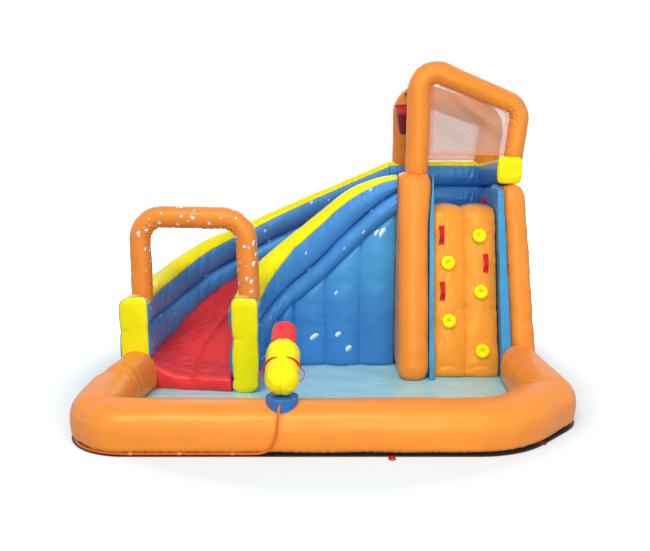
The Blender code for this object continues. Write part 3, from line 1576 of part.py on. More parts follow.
def build_tower():
    orange = fabric("orange_fabric", ORANGE)
    blue = fabric("blue_fabric", BLUE)
    light_blue = fabric("light_blue_fabric", LIGHT_BLUE)
    yellow = fabric("yellow_fabric", YELLOW)
    column(
        "left_column", lambda z: TOWER_LEFT_X, lambda z: LEFT_COLUMN_RIGHT - GAP, LEFT_COLUMN_HEIGHT, 0,
        orange, 0
    )
    column(
        "right_column", lambda z: fan(RIGHT_COLUMN_LEFT, z), lambda z: fan(RIGHT_COLUMN_RIGHT, z),
        RIGHT_COLUMN_HEIGHT, 0, orange, 0
    )
    column(
        "left_liner", lambda z: LEFT_COLUMN_RIGHT, lambda z: fan(CLIMB_LEFT, z) - GAP,
        LEFT_COLUMN_HEIGHT - LINER_DROP * 2, LINER_SETBACK, light_blue
    )
    column(
        "right_liner", lambda z: fan(CLIMB_RIGHT, z) + GAP, lambda z: fan(RIGHT_COLUMN_LEFT, z) - GAP,
        RIGHT_COLUMN_HEIGHT - LINER_DROP, LINER_SETBACK, light_blue
    )
    climbing_wall(orange)
    for number, (channel, height) in enumerate(FOOTHOLD_HEIGHTS, 1):
        foothold(f"foothold_{number}", channel, height, yellow)
    red = fabric("red_webbing", RED, 0.7)
    for number, (channel, height) in enumerate(HANDLE_HEIGHTS, 1):
        centre, out, up = climb_frame(channel, height)
        centre.x += HANDLE_OFFSET * (1 if channel else -1)
        webbing_handle(
            f"climbing_handle_{number}", centre, out, up, HANDLE_LENGTH, HANDLE_WIDTH, HANDLE_RISE, red
        )
    flank = oval_point(math.pi / TUBE_SIDES, BOLSTER_WIDTH / 2, TUBE_HEIGHT / 2)[0]
    centre = Vector((REAR_X - flank, back(PLATFORM_HANDLE_BACK), PLATFORM_HANDLE_HEIGHT))
    webbing_handle(
        "platform_handle", centre, Vector((-1, 0, 0)), Vector((0, 1, 0)), HANDLE_LENGTH, HANDLE_WIDTH,
        HANDLE_RISE, red
    )
    platform(blue)
    air_sleeve(rear_panels("rear_panels", orange), orange)
    rear_bolster("rear_bolster_upper", 0, blue)
    rear_bolster("rear_bolster_lower", 1, blue)
    rear_top_panel("rear_top_panel", yellow)
    rear_end_cap("rear_end_cap", yellow)
    tower_frame("front_frame", FRONT_FRAME_ROUTE, FRONT_FRAME_BACK, orange)
    tower_frame("rear_frame", REAR_FRAME_ROUTE, REAR_FRAME_BACK, orange)
    net_white = fabric("net_white", NET_WHITE, 0.8)
    net("front_net", FRONT_FRAME_ROUTE, FRONT_FRAME_BACK, FRONT_NET_FOOT, net_white)
    rear_foot = OUTER_TOP + TOP_PANEL_THICK + NET_FOOT_CLEARANCE
    net("rear_net", REAR_FRAME_ROUTE, REAR_FRAME_BACK, rear_foot, net_white)


def build_bucket():
    red = fabric("red_fabric", RED, 0.4)
    webbing = fabric("red_webbing", RED, 0.7)
    bucket(red)
    between_frames("bucket_axle", AXLE_RADIUS, AXLE_RADIUS, AXLE_HEIGHT, AXLE_HEIGHT, webbing)
    half_width, half_thick = TIE_STRAP_WIDTH / 2, TIE_STRAP_THICK / 2
    between_frames("frame_tie_strap", half_width, half_thick, TIE_STRAP_FRONT, TIE_STRAP_REAR, webbing)
    filler(red)


def build_cannon():
    yellow = fabric("yellow_fabric", YELLOW)
    red = fabric("red_fabric", RED, 0.4)
    webbing = fabric("red_webbing", RED, 0.7)
    blue = fabric("blue_fabric", BLUE)
    cannon_base(blue)
    yaw = empty_at("cannon_yaw_axis", YAW_POINT)
    pitch = empty_at("cannon_pitch_axis", PITCH_POINT)
    collar = rod("cannon_collar", COLLAR_RADIUS, COLLAR_THICK, blue, BARREL_SIDES)
    collar.location = YAW_POINT + Vector((0, 0, CANNON_BASE_TOP + GAP + COLLAR_THICK / 2))
    barrel, floor = cannon_barrel(yellow)
    nozzle = cannon_nozzle(floor, red)
    left = cannon_handle("cannon_handle_left", -1, webbing)
    right = cannon_handle("cannon_handle_right", 1, webbing)
    hang_on(collar, yaw, YAW_POINT)
    for item in (barrel, nozzle, left, right):
        hang_on(item, pitch, PITCH_POINT)


def build_fittings():
    orange = fabric("orange_hose", ORANGE, 0.35)
    webbing = fabric("red_webbing", RED, 0.7)
    hose_tube("hose", smooth_route(from_front(HOSE_POINTS), HOSE_SPACING), HOSE_RADIUS, orange)
    hose_connector(fabric("hose_fitting", YELLOW, 0.3))
    for number, place_of_loop in enumerate(HOSE_LOOPS, 1):
        hose_loop(f"hose_loop_{number}", place_of_loop, orange)
    foot = POOL_TUBE_WIDTH / 2 * (1 - POOL_SECTION_SHARES[0][0]) - SHEET_MARGIN
    anchor("anchor_front", Vector((ANCHOR_FRONT_X, back(foot))), Vector((0, -1)), webbing)
    anchor("anchor_right", *sheet_edge(*ANCHOR_RIGHT), webbing)
    anchor("anchor_rear", *sheet_edge(*ANCHOR_REAR), webbing)
    deflation_flap(fabric("blue_fabric", BLUE))


build_base()
build_slide()
build_tower()
build_bucket()
build_cannon()
build_fittings()
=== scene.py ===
"""Looks of an inflatable garden water slide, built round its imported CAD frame.

Each air chamber is a grid of points laid along a route, then drawn in at its seams, folded at its
bends and wrinkled, all by formulas on whole arrays. The slide's and the rear side's routes are those
of the CAD pieces. The pool wall's is drawn to the photograph and departs from its CAD piece.

Metres, +X right, +Y to the back, +Z up.
"""

import logging
import math
from dataclasses import dataclass
from enum import Enum
from typing import Any, Callable

import bpy
import numpy as np
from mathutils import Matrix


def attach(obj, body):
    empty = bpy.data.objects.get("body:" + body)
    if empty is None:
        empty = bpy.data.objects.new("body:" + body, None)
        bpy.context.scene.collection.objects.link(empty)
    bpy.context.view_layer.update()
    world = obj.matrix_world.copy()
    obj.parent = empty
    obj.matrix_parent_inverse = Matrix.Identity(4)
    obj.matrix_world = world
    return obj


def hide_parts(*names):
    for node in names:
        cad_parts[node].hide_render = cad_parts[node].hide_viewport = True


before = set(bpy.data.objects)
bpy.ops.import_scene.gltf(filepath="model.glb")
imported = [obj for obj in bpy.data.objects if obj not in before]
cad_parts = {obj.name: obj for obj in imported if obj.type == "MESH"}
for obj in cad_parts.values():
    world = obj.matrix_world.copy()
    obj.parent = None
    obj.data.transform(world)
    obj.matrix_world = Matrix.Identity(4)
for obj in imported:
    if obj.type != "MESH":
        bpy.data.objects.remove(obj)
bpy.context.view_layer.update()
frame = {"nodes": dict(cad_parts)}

Array = np.ndarray
LOG = logging.getLogger("water_slide")

# Places shared with the CAD
FRONT_Y = -1.5425
BASE_Z = 0.0086
GAP = 0.0003
BED_X = -1.15
BED_BACK = 2.50
TOWER_X = 0.605
OFFSET = 0.4503
HALF_BOLSTER = 0.11
TUBE_TALL = 0.235
PLATFORM_Z = 1.36
COLUMN_TOP = 1.775
MOUTH_SKEW = 0.144


def back(distance: Any) -> Any:
    """World Y of a place measured back from the pool wall's front.

    Args:
        distance: metres back, a number or an array.

    Returns:
        World Y, of the same shape.
    """
    return FRONT_Y + distance


# Shaping by formulas


def table_curve(table: tuple, at: Array) -> Array:
    """A smooth curve through a table: cubic pieces whose slope at each knot is the harmonic mean of
    the slopes beside it, and level where those change sign.

    Args:
        table: (place, value) rows.
        at: places wanted.

    Returns:
        The curve's values there.
    """
    xs, ys = np.array(table, float).T
    slopes = np.diff(ys) / np.diff(xs)
    before, after = slopes[:-1], slopes[1:]
    total = np.where(np.abs(before + after) < 1e-12, 1.0, before + after)
    middle = np.where(before * after <= 0, 0.0, 2 * before * after / total)
    tangents = np.concatenate((slopes[:1], middle, slopes[-1:]))
    at = np.clip(at, xs[0], xs[-1])
    i = np.clip(np.searchsorted(xs, at, side="right") - 1, 0, len(xs) - 2)
    span = xs[i + 1] - xs[i]
    t = (at - xs[i]) / span
    lift = ys[i] * (2 * t**3 - 3 * t**2 + 1) + ys[i + 1] * (3 * t**2 - 2 * t**3)
    return lift + span * (tangents[i] * (t**3 - 2 * t**2 + t) + tangents[i + 1] * (t**3 - t**2))


def full(wave: Array, power: float) -> Array:
    """A sine or cosine bent so that an oval's sides grow fuller.

    Args:
        wave: values from -1 to 1.
        power: 2 gives a plain ellipse, more gives fuller corners.

    Returns:
        The bent wave.
    """
    return np.sign(wave) * np.abs(wave) ** (2 / power)


def ripple(run: Array, size: float, seed: int) -> Array:
    """A smooth random line: the sum of seven sine waves of near lengths with random starts.

    Args:
        run: distances.
        size: mean wave length.
        seed: picks the waves.

    Returns:
        Values from about -1 to 1.
    """
    rng = np.random.default_rng(seed)
    sizes = size * rng.uniform(0.6, 1.7, 7)
    starts = rng.uniform(0, 2 * math.pi, 7)
    return sum(np.sin(2 * math.pi * run / s + a) for s, a in zip(sizes, starts)) / 3.2


def crumple(points: Array, size: float, seed: int) -> Array:
    """Random relief in space: the sum of twelve plane waves in random directions.

    Args:
        points: places, with x, y and z last.
        size: mean wave length.
        seed: picks the waves.

    Returns:
        Values from about -1 to 1, one for each place.
    """
    rng = np.random.default_rng(seed)
    ways = rng.normal(size=(3, 12))
    ways *= 2 * math.pi / (size * rng.uniform(0.6, 1.8, 12)) / np.linalg.norm(ways, axis=0)
    return np.sin(points @ ways + rng.uniform(0, 2 * math.pi, 12)).sum(axis=-1) / 3.5


def spokes(angle: Array, low: int, high: int, seed: int) -> Array:
    """Random puckers round a ring: whole waves only, so that they close on themselves.

    Args:
        angle: angles round the ring.
        low: fewest waves round it.
        high: most waves round it.
        seed: picks their starts and heights.

    Returns:
        Values from about -1 to 1.
    """
    rng = np.random.default_rng(seed)
    counts = np.arange(low, high)
    starts = rng.uniform(0, 2 * math.pi, len(counts))
    heights = rng.uniform(0.3, 1.0, len(counts))
    waves = sum(h * np.sin(n * angle + a) for n, a, h in zip(counts, starts, heights))
    return waves / (0.55 * math.sqrt(len(counts)) * 1.3)


def apart(angle: Array, lines: tuple[float, ...]) -> Array:
    """How far each angle is from the nearest of some angles.

    Args:
        angle: angles, in radians.
        lines: the angles measured from.

    Returns:
        Radians, from 0 to pi.
    """
    if not lines:
        return np.full(np.shape(angle), math.pi)
    turns = [np.abs((angle - line + math.pi) % (2 * math.pi) - math.pi) for line in lines]
    return np.minimum.reduce(turns)


def nearest(run: Array, places: tuple[float, ...]) -> Array:
    """How far each distance is from the nearest of some places.

    Args:
        run: distances.
        places: the places measured from.

    Returns:
        Distances, 9 where there are no places.
    """
    return np.minimum.reduce([np.abs(run - place) for place in places] + [np.full(np.shape(run), 9.0)])


@dataclass(frozen=True)
class Route:
    """Straight runs joined by round corners in a plane, measured by distance."""

    corners: tuple
    radii: tuple

    def trace(self) -> tuple[Array, Array, Array]:
        """The route at close steps.

        Returns:
            Distances, points and heading angles.
        """
        corners = np.array(self.corners, float)
        steps = np.diff(corners, axis=0)
        ways = steps / np.linalg.norm(steps, axis=1, keepdims=True)
        angles = np.unwrap(np.arctan2(ways[:, 1], ways[:, 0]))
        runs, points, turns = [0.0], [corners[0]], [angles[0]]
        for i in range(1, len(corners) - 1):
            turn, radius = angles[i] - angles[i - 1], self.radii[i]
            reach = radius * math.tan(abs(turn) / 2)
            begin = corners[i] - ways[i - 1] * reach
            runs.append(runs[-1] + float(np.linalg.norm(begin - points[-1])))
            points.append(begin)
            turns.append(angles[i - 1])
            part = np.linspace(0, 1, 61)[1:]
            spin = angles[i - 1] + turn * part
            side = math.copysign(1, turn)
            centre = begin + side * radius * np.array((-math.sin(angles[i - 1]), math.cos(angles[i - 1])))
            arc = centre - side * radius * np.stack((-np.sin(spin), np.cos(spin)), axis=1)
            runs.extend(runs[-1] + abs(turn) * radius * part)
            points.extend(arc)
            turns.extend(spin)
        runs.append(runs[-1] + float(np.linalg.norm(corners[-1] - points[-1])))
        points.append(corners[-1])
        turns.append(angles[-1])
        return np.array(runs), np.array(points), np.array(turns)

    @property
    def length(self) -> float:
        """The route's whole length."""
        return float(self.trace()[0][-1])

    def at(self, run: Array) -> tuple[Array, Array]:
        """Points and unit headings at these distances.

        Args:
            run: distances from the start.

        Returns:
            Points and headings, with x and y last.
        """
        runs, points, turns = self.trace()
        spin = np.interp(run, runs, turns)
        spot = np.stack((np.interp(run, runs, points[:, 0]), np.interp(run, runs, points[:, 1])), axis=-1)
        return spot, np.stack((np.cos(spin), np.sin(spin)), axis=-1)

    def beside(self, run: Array, across: Array, height: Array) -> Array:
        """Points to the left of the route, in space.

        Args:
            run: distances along it.
            across: distances to its left.
            height: world Z.

        Returns:
            Points, with x, y and z last.
        """
        spot, way = self.at(run)
        x = spot[..., 0] - way[..., 1] * across
        y = spot[..., 1] + way[..., 0] * across
        return np.stack(np.broadcast_arrays(x, y, height), axis=-1)

    def corner_runs(self) -> tuple[float, ...]:
        """The distances of the middles of its corners."""
        runs = self.trace()[0]
        middles = []
        for i in range(1, len(self.corners) - 1):
            first = 61 * (i - 1) + 1
            middles.append(float((runs[first] + runs[first + 60]) / 2))
        return tuple(middles)


@dataclass
class Skin:
    """A grid of points: rows along a piece, columns round it or across it."""

    points: Array
    ring: bool = True
    facing: tuple[float, float, float] | None = None
    seam: Array | None = None

    def raw_normals(self) -> Array:
        """Unit normals by the grid's own turn, columns to rows."""
        along = np.gradient(self.points, axis=0)
        if self.ring:
            wide = np.concatenate((self.points[:, -1:], self.points, self.points[:, :1]), axis=1)
            across = wide[:, 2:] - wide[:, :-2]
        else:
            across = np.gradient(self.points, axis=1)
        normals = np.cross(across, along)
        return normals / np.maximum(np.linalg.norm(normals, axis=2, keepdims=True), 1e-9)

    def side(self, normals: Array) -> float:
        """Plus or minus one: whether the grid's own normals point outwards.

        Args:
            normals: the raw normals.

        Returns:
            The sign that turns them outwards.
        """
        out = self.points - self.points.mean(axis=1, keepdims=True)
        if self.facing is not None:
            out = np.broadcast_to(np.array(self.facing, float), out.shape)
        return 1.0 if float((out * normals).sum()) >= 0 else -1.0

    def push(self, amount: Array) -> "Skin":
        """Moves the skin out along its normals.

        Args:
            amount: metres outwards at each point.

        Returns:
            The skin itself.
        """
        normals = self.raw_normals()
        self.points = self.points + normals * (self.side(normals) * np.asarray(amount))[..., None]
        return self

    def closed(self, start: float | None = None, end: float | None = None, steps: int = 7) -> "Skin":
        """Adds rows that close the ends, each a dome of the given height.

        Args:
            start: height of the first end's dome, or None to leave it open.
            end: height of the last end's dome, or None.
            steps: rows to add at each end.

        Returns:
            The skin itself.
        """
        turn = np.linspace(0, math.pi / 2, steps + 1)[1:, None, None]
        seam = self.seam if self.seam is not None else np.full(self.points.shape[:2], 0.5)
        for dome, last in ((start, 0), (end, -1)):
            if dome is None:
                continue
            ring = self.points[last]
            middle = ring.mean(axis=0)
            away = middle - self.points[3 if last == 0 else -4].mean(axis=0)
            away = away / max(float(np.linalg.norm(away)), 1e-9)
            shrink = np.maximum(np.cos(turn), 0.02)
            rows = middle + (ring - middle) * shrink + away * dome * np.sin(turn)
            edge = np.broadcast_to(seam[last], rows.shape[:2])
            if last == 0:
                self.points = np.concatenate((rows[::-1], self.points))
                seam = np.concatenate((edge, seam))
            else:
                self.points = np.concatenate((self.points, rows))
                seam = np.concatenate((seam, edge))
        self.seam = seam
        return self

    def lattice(self) -> Array:
        """Each point's distances along and across the skin, in metres, for patterns of real size."""
        rows = len(self.points)
        along = np.linalg.norm(np.diff(self.points, axis=0), axis=2).mean(axis=1)
        wide = self.points
        if self.ring:
            wide = np.concatenate((self.points, self.points[:, :1]), axis=1)
        across = np.linalg.norm(np.diff(wide, axis=1), axis=2).mean(axis=0)
        u = np.concatenate(((0.0,), np.cumsum(along)))
        v = np.concatenate(((0.0,), np.cumsum(across)))
        return np.stack(np.broadcast_arrays(u[:, None], v[None, :]), axis=-1).reshape(rows, -1, 2)

    def build(self, name: str, finish: "Fabric", thick: float = 0.0) -> bpy.types.Object:
        """Makes the mesh object.

        Args:
            name: the object's name.
            finish: its fabric.
            thick: thickness put on an open skin, inwards.

        Returns:
            The object, at the origin.
        """
        rows, columns = self.points.shape[:2]
        i = np.arange(rows - 1)[:, None]
        j = np.arange(columns if self.ring else columns - 1)[None, :]
        k = (j + 1) % columns
        corners = ((i, j, j), (i, k, j + 1), (i + 1, k, j + 1), (i + 1, j, j))
        quads = np.stack(np.broadcast_arrays(*[r * columns + c for r, c, _ in corners]), axis=-1)
        lattice = self.lattice()
        pairs = [np.broadcast_arrays(r, u) for r, _, u in corners]
        marks = np.stack([lattice[pair[0], pair[1]] for pair in pairs], axis=2)
        if self.side(self.raw_normals()) < 0:
            quads, marks = quads[..., ::-1], marks[:, :, ::-1]
        faces = quads.reshape(-1, 4).tolist()
        uvs = marks.reshape(-1, 2)
        if self.ring:
            for first, turned in ((0, True), ((rows - 1) * columns, False)):
                ring = list(range(first, first + columns))
                flipped = self.side(self.raw_normals()) < 0
                faces.append(ring[::-1] if turned != flipped else ring)
                uvs = np.concatenate((uvs, np.zeros((columns, 2))))
        mesh = bpy.data.meshes.new(name)
        mesh.from_pydata(self.points.reshape(-1, 3).tolist(), [], faces)
        mesh.uv_layers.new(name="UVMap").data.foreach_set("uv", uvs.astype(np.float32).ravel())
        seam = self.seam if self.seam is not None else np.full((rows, columns), 0.5)
        mesh.attributes.new("seam", "FLOAT", "POINT").data.foreach_set("value", seam.astype(np.float32).ravel())
        mesh.shade_smooth()
        made = bpy.data.objects.new(name, mesh)
        bpy.context.scene.collection.objects.link(made)
        mesh.materials.append(finish.material())
        if thick:
            wall = made.modifiers.new("cloth", "SOLIDIFY")
            wall.thickness = thick
            wall.offset = -1
        return made


@dataclass(frozen=True)
class Fold:
    """A bunch of folds across a tube: where along, how far, at which angle, how wide round, how deep."""

    run: float
    width: float
    angle: float
    spread: float
    depth: float
    pitch: float


@dataclass(frozen=True)
class Sewing:
    """How a tube's fabric draws in at its seams, ends and bends."""

    lines: tuple[float, ...] = ()
    rings: tuple[float, ...] = ()
    groove: float = 0.004
    pucker: float = 0.0025
    pitch: float = 0.055
    reach: float = 0.045
    slack: float = 0.0015
    slack_size: float = 0.22
    ends: float = 0.006
    end_reach: float = 0.05
    neck: float = 0.010
    folds: tuple[Fold, ...] = ()
    seed: int = 1

    def dress(self, skin: Skin, run: Array, angle: Array, radius: float) -> Skin:
        """Draws the fabric in: a groove on each seam, puckers that die away from it, folds at the
        bends, and ends gathered in round their seams.

        Args:
            skin: the smooth tube.
            run: each row's distance along it.
            angle: each column's angle round it.
            radius: its mean radius.

        Returns:
            The same skin, dressed.
        """
        run, angle = run[:, None], angle[None, :]
        line = apart(angle, self.lines) * radius + 0 * run
        ring = nearest(run, self.rings) + 0 * angle
        end = np.minimum(run - run.min(), run.max() - run) + 0 * angle
        amount = -self.groove * (np.exp(-((line / 0.010) ** 2)) + np.exp(-((ring / 0.012) ** 2)))
        amount = amount + self.pucker * np.exp(-line / self.reach) * ripple(run, self.pitch, self.seed)
        gathers = spokes(angle, 9, 26, self.seed + 5)
        amount = amount + self.pucker * np.exp(-ring / (self.reach * 1.3)) * gathers
        amount = amount + self.ends * np.exp(-end / self.end_reach) * spokes(angle, 7, 22, self.seed + 9) * 0.6
        amount = amount - self.neck * np.exp(-((end / (self.end_reach * 0.7)) ** 2))
        amount = amount + self.slack * crumple(skin.points, self.slack_size, self.seed + 2)
        for n, fold in enumerate(self.folds):
            weight = np.exp(-(((run - fold.run) / fold.width) ** 2))
            weight = weight * np.exp(-((apart(angle, (fold.angle,)) / fold.spread) ** 2))
            skew = run + 0.035 * np.sin(angle * 2 + n) + 0.012 * ripple(run, 0.2, self.seed + n)
            crest = np.abs(np.sin(math.pi * skew / fold.pitch)) ** 0.7
            amount = amount - fold.depth * weight * (1 - crest)
        skin.seam = np.minimum(np.minimum(line, ring), end)
        return skin.push(amount)


def tube(place: Callable[[Array, Array, Array], Array], run: Array, half_width: Array, half_height: Array,
         sides: int = 72, power: float = 2.4) -> tuple[Skin, Array]:
    """An oval tube along a run.

    Args:
        place: turns (run, across, up) into points.
        run: each row's place along.
        half_width: each row's half width.
        half_height: each row's half height.
        sides: columns round it.
        power: how full its section is.

    Returns:
        The skin and the angles round it.
    """
    angle = np.linspace(0, 2 * math.pi, sides, endpoint=False)
    across = full(np.cos(angle), power)[None, :] * np.reshape(half_width, (-1, 1))
    up = full(np.sin(angle), power)[None, :] * np.reshape(half_height, (-1, 1))
    return Skin(place(run[:, None] + 0 * across, across, up)), angle


def quilt(run: Array, pitch: float) -> Array:
    """The share of its thickness that a wall sewn into upright channels has at each place.

    Args:
        run: distances along the wall.
        pitch: one channel's width.

    Returns:
        1 at each crown, and small at the seams, by a root of a sine.
    """
    return 0.42 + 0.58 * np.abs(np.sin(math.pi * run / pitch)) ** 0.55


def rounded(distance: Array, radius: float) -> Array:
    """How far a quarter round has drawn in at a distance from its end.

    Args:
        distance: distance from the end.
        radius: the round's radius.

    Returns:
        From the radius at the end to 0.
    """
    left = np.clip(1 - distance / radius, 0, 1)
    return radius * (1 - np.sqrt(1 - left**2))


# Finishes


def add(tree: bpy.types.NodeTree, kind: str, inputs: dict | None = None, **settings: Any) -> bpy.types.Node:
    """Adds a shader node.

    Args:
        tree: the material's tree.
        kind: the node's type, without its ShaderNode.
        inputs: values or other nodes' outputs, by socket.
        settings: the node's own settings.

    Returns:
        The node.
    """
    node = tree.nodes.new("ShaderNode" + kind)
    for key, value in settings.items():
        setattr(node, key, value)
    for key, value in (inputs or {}).items():
        if isinstance(value, bpy.types.NodeSocket):
            tree.links.new(value, node.inputs[key])
        else:
            node.inputs[key].default_value = value
    return node


def linear(code: str) -> tuple[float, float, float, float]:
    """A colour written as six sRGB hex digits, as linear values.

    Args:
        code: the digits.

    Returns:
        Red, green, blue and 1.
    """
    parts = np.array([int(code[i : i + 2], 16) / 255 for i in (0, 2, 4)])
    low = parts / 12.92
    high = ((parts + 0.055) / 1.055) ** 2.4
    return (*np.where(parts <= 0.04045, low, high).tolist(), 1.0)


class Motif(Enum):
    """What is printed on a fabric."""

    NONE = 0
    BUBBLES = 1
    DROPS = 2


@dataclass(frozen=True)
class Fabric:
    """A woven fabric with a coat: colour, sheen, fine creases and what is printed on it."""

    name: str
    colour: str
    roughness: float = 0.36
    creases: float = 0.0012
    gloss: float = 0.9
    motif: Motif = Motif.NONE
    cell: float = 0.10
    largest: float = 0.3
    share: float = 0.5
    top_colour: str | None = None
    top_from: float = 0.0
    top_to: float = 1.0

    def material(self) -> bpy.types.Material:
        """Makes the material, once.

        Returns:
            The material.
        """
        known = bpy.data.materials.get(self.name)
        if known:
            return known
        made = bpy.data.materials.new(self.name)
        made.use_nodes = True
        tree = made.node_tree
        tree.nodes.clear()
        uv = add(tree, "UVMap", uv_map="UVMap").outputs["UV"]
        spot = add(tree, "TexCoord").outputs["Object"]
        seam = add(tree, "Attribute", attribute_name="seam").outputs["Fac"]
        decay = add(tree, "Math", {0: seam, 1: -26.0}, operation="MULTIPLY").outputs[0]
        near = add(tree, "Math", {0: decay}, operation="EXPONENT").outputs[0]
        colour = self.base(tree, spot)
        if self.motif is not Motif.NONE:
            colour = self.printed(tree, uv, colour)
        stitch = add(tree, "MapRange", {0: seam, 1: 0.0015, 2: 0.005, 3: 0.82, 4: 1.0}).outputs[0]
        colour = add(tree, "Mix", {0: 1.0, 6: colour, 7: stitch}, data_type="RGBA", blend_type="MULTIPLY").outputs[2]
        shader = add(tree, "BsdfPrincipled", {"Base Color": colour, "Roughness": self.roughness,
                                               "Normal": self.relief(tree, uv, spot, near)})
        plain = np.array(linear(self.colour)[:3])
        shader.inputs["Specular Tint"].default_value = (*np.sqrt(plain / plain.max()).tolist(), 1.0)
        shader.inputs["Specular IOR Level"].default_value = self.gloss
        shader.inputs["Sheen Weight"].default_value = 0.06
        shader.inputs["Sheen Roughness"].default_value = 0.4
        add(tree, "OutputMaterial", {"Surface": shader.outputs[0]})
        made.diffuse_color = linear(self.colour)
        return made

    def base(self, tree: bpy.types.NodeTree, spot: bpy.types.NodeSocket) -> Any:
        """The fabric's colour, a little uneven, and drawn to a second colour upwards where there is one: on the bucket
        the dark lower colour is painted shade under its red top band, on the printed blue wall the blue grows lighter
        towards the top.

        Args:
            tree: the material's tree.
            spot: the place on the object.

        Returns:
            The colour's socket.
        """
        plain = linear(self.colour)
        if self.top_colour:
            height = add(tree, "SeparateXYZ", {0: spot}).outputs[2]
            part = add(tree, "MapRange", {0: height, 1: self.top_from, 2: self.top_to}, interpolation_type="SMOOTHSTEP")
            colours = {0: part.outputs[0], 6: plain, 7: linear(self.top_colour)}
            plain = add(tree, "Mix", colours, data_type="RGBA").outputs[2]
        cloud = add(tree, "TexNoise", {"Vector": spot, "Scale": 4.0, "Detail": 3.0}).outputs[0]
        uneven = add(tree, "MapRange", {0: cloud, 1: 0.3, 2: 0.7, 3: 0.95, 4: 1.04}).outputs[0]
        return add(tree, "Mix", {0: 1.0, 6: plain, 7: uneven}, data_type="RGBA", blend_type="MULTIPLY").outputs[2]

    def relief(self, tree: bpy.types.NodeTree, uv: Any, spot: Any, near: Any) -> Any:
        """Fine relief in metres: soft creases all over, puckers beside the seams, and the weave.

        Args:
            tree: the material's tree.
            uv: metres along and across the piece.
            spot: the place on the object.
            near: 1 at a seam, dying away from it.

        Returns:
            The normal's socket.
        """
        soft = add(tree, "TexNoise", {"Vector": spot, "Scale": 9.0, "Detail": 3.0, "Distortion": 0.8}).outputs[0]
        drawn = add(tree, "Mapping", {"Vector": uv, "Scale": (48.0, 9.0, 1.0)}).outputs[0]
        pucker = add(tree, "TexNoise", {"Vector": drawn, "Scale": 1.0, "Detail": 2.0}).outputs[0]
        pucker = add(tree, "Math", {0: pucker, 1: near}, operation="MULTIPLY").outputs[0]
        pucker = add(tree, "Math", {0: pucker, 1: 0.005}, operation="MULTIPLY").outputs[0]
        fine = add(tree, "Mapping", {"Vector": uv, "Scale": (5200.0, 5200.0, 1.0)}).outputs[0]
        weave = add(tree, "VectorMath", {0: fine}, operation="SINE").outputs[0]
        threads = add(tree, "SeparateXYZ", {0: weave})
        cross = add(tree, "Math", {0: threads.outputs[0], 1: threads.outputs[1]}, operation="MULTIPLY").outputs[0]
        cross = add(tree, "Math", {0: cross, 1: 0.00002, 2: pucker}, operation="MULTIPLY_ADD").outputs[0]
        height = add(tree, "Math", {0: soft, 1: self.creases * 3, 2: cross}, operation="MULTIPLY_ADD").outputs[0]
        return add(tree, "Bump", {"Height": height, "Strength": 1.0, "Distance": 1.0}).outputs[0]

    def printed(self, tree: bpy.types.NodeTree, uv: Any, colour: Any) -> Any:
        """Round bubbles or drops, one in some of the cells of a random pattern, white with a blue side.

        Args:
            tree: the material's tree.
            uv: metres along and across the piece.
            colour: the fabric's colour.

        Returns:
            The printed colour's socket.
        """
        stretch = (1.0, 1.0, 1.0) if self.motif is Motif.BUBBLES else (0.62, 1.25, 1.0)
        drawn = add(tree, "Mapping", {"Vector": uv, "Scale": stretch, "Rotation": (0.0, 0.0, 0.5)}).outputs[0]
        cells = add(tree, "TexVoronoi", {"Vector": drawn, "Scale": 1 / self.cell}, voronoi_dimensions="2D")
        chance = add(tree, "SeparateColor", {0: cells.outputs["Color"]})
        size = add(tree, "MapRange", {
            0: chance.outputs[0], 1: 1 - self.share, 2: 1.0, 3: 0.0, 4: self.largest
        }).outputs[0]
        inside = add(tree, "Math", {0: size, 1: cells.outputs["Distance"]}, operation="SUBTRACT").outputs[0]
        mask = add(tree, "MapRange", {0: inside, 1: 0.0, 2: 0.02}).outputs[0]
        offset = add(tree, "VectorMath", {0: drawn, 1: cells.outputs["Position"]}, operation="SUBTRACT").outputs[0]
        side = add(tree, "SeparateXYZ", {0: offset}).outputs[1]
        steepness = 1.3 / self.cell / self.largest
        shade = add(tree, "Math", {0: side, 1: steepness, 2: 0.35}, operation="MULTIPLY_ADD").outputs[0]
        colours = {0: shade, 6: linear("F4F7F8"), 7: linear("4F9BC9")}
        tint = add(tree, "Mix", colours, data_type="RGBA", clamp_factor=True).outputs[2]
        return add(tree, "Mix", {0: mask, 6: colour, 7: tint}, data_type="RGBA").outputs[2]


# Coated nylon, the air chambers
ORANGE = Fabric("orange_coated_nylon", "F08E36")
ORANGE_PRINT = Fabric(
    "orange_coated_nylon_printed", "EC8A36", motif=Motif.BUBBLES, cell=0.075, largest=0.33, share=0.62
)
BLUE = Fabric("blue_coated_nylon", "4388CC", motif=Motif.BUBBLES, cell=0.17, largest=0.12, share=0.5)
BLUE_WALL = Fabric("blue_coated_nylon_printed", "3C82C8", motif=Motif.DROPS, cell=0.15, largest=0.20, share=0.6,
                   top_colour="4A9CD6", top_from=0.35, top_to=1.10)
# Painted shade: the plain blue darkened, for the drum and the collar under the cannon.
BLUE_PAINTED_SHADE = Fabric("blue_coated_nylon_painted_shade", "2F68AE")
BLUE_PLAIN = Fabric("blue_coated_nylon_plain", "4388CC")
LIGHT_BLUE = Fabric("light_blue_coated_nylon", "3A92C8", creases=0.001)
YELLOW = Fabric("yellow_coated_nylon", "F4EA12", creases=0.0010)
RED = Fabric("red_coated_nylon", "E8393A", creases=0.0016)
# Painted shade: the bucket's red is darkened everywhere below its lit top band, which keeps the real red.
BUCKET_RED_PAINTED_SHADE = Fabric("red_coated_nylon_painted_shade", "6C171B", creases=0.0016, top_colour="D8383A", top_from=2.27, top_to=2.31)
AQUA = Fabric("aqua_coated_sheet", "ABDFE8", roughness=0.35, creases=0.004)
BLACK = Fabric("black_coated_sheet", "17181A", roughness=0.55)
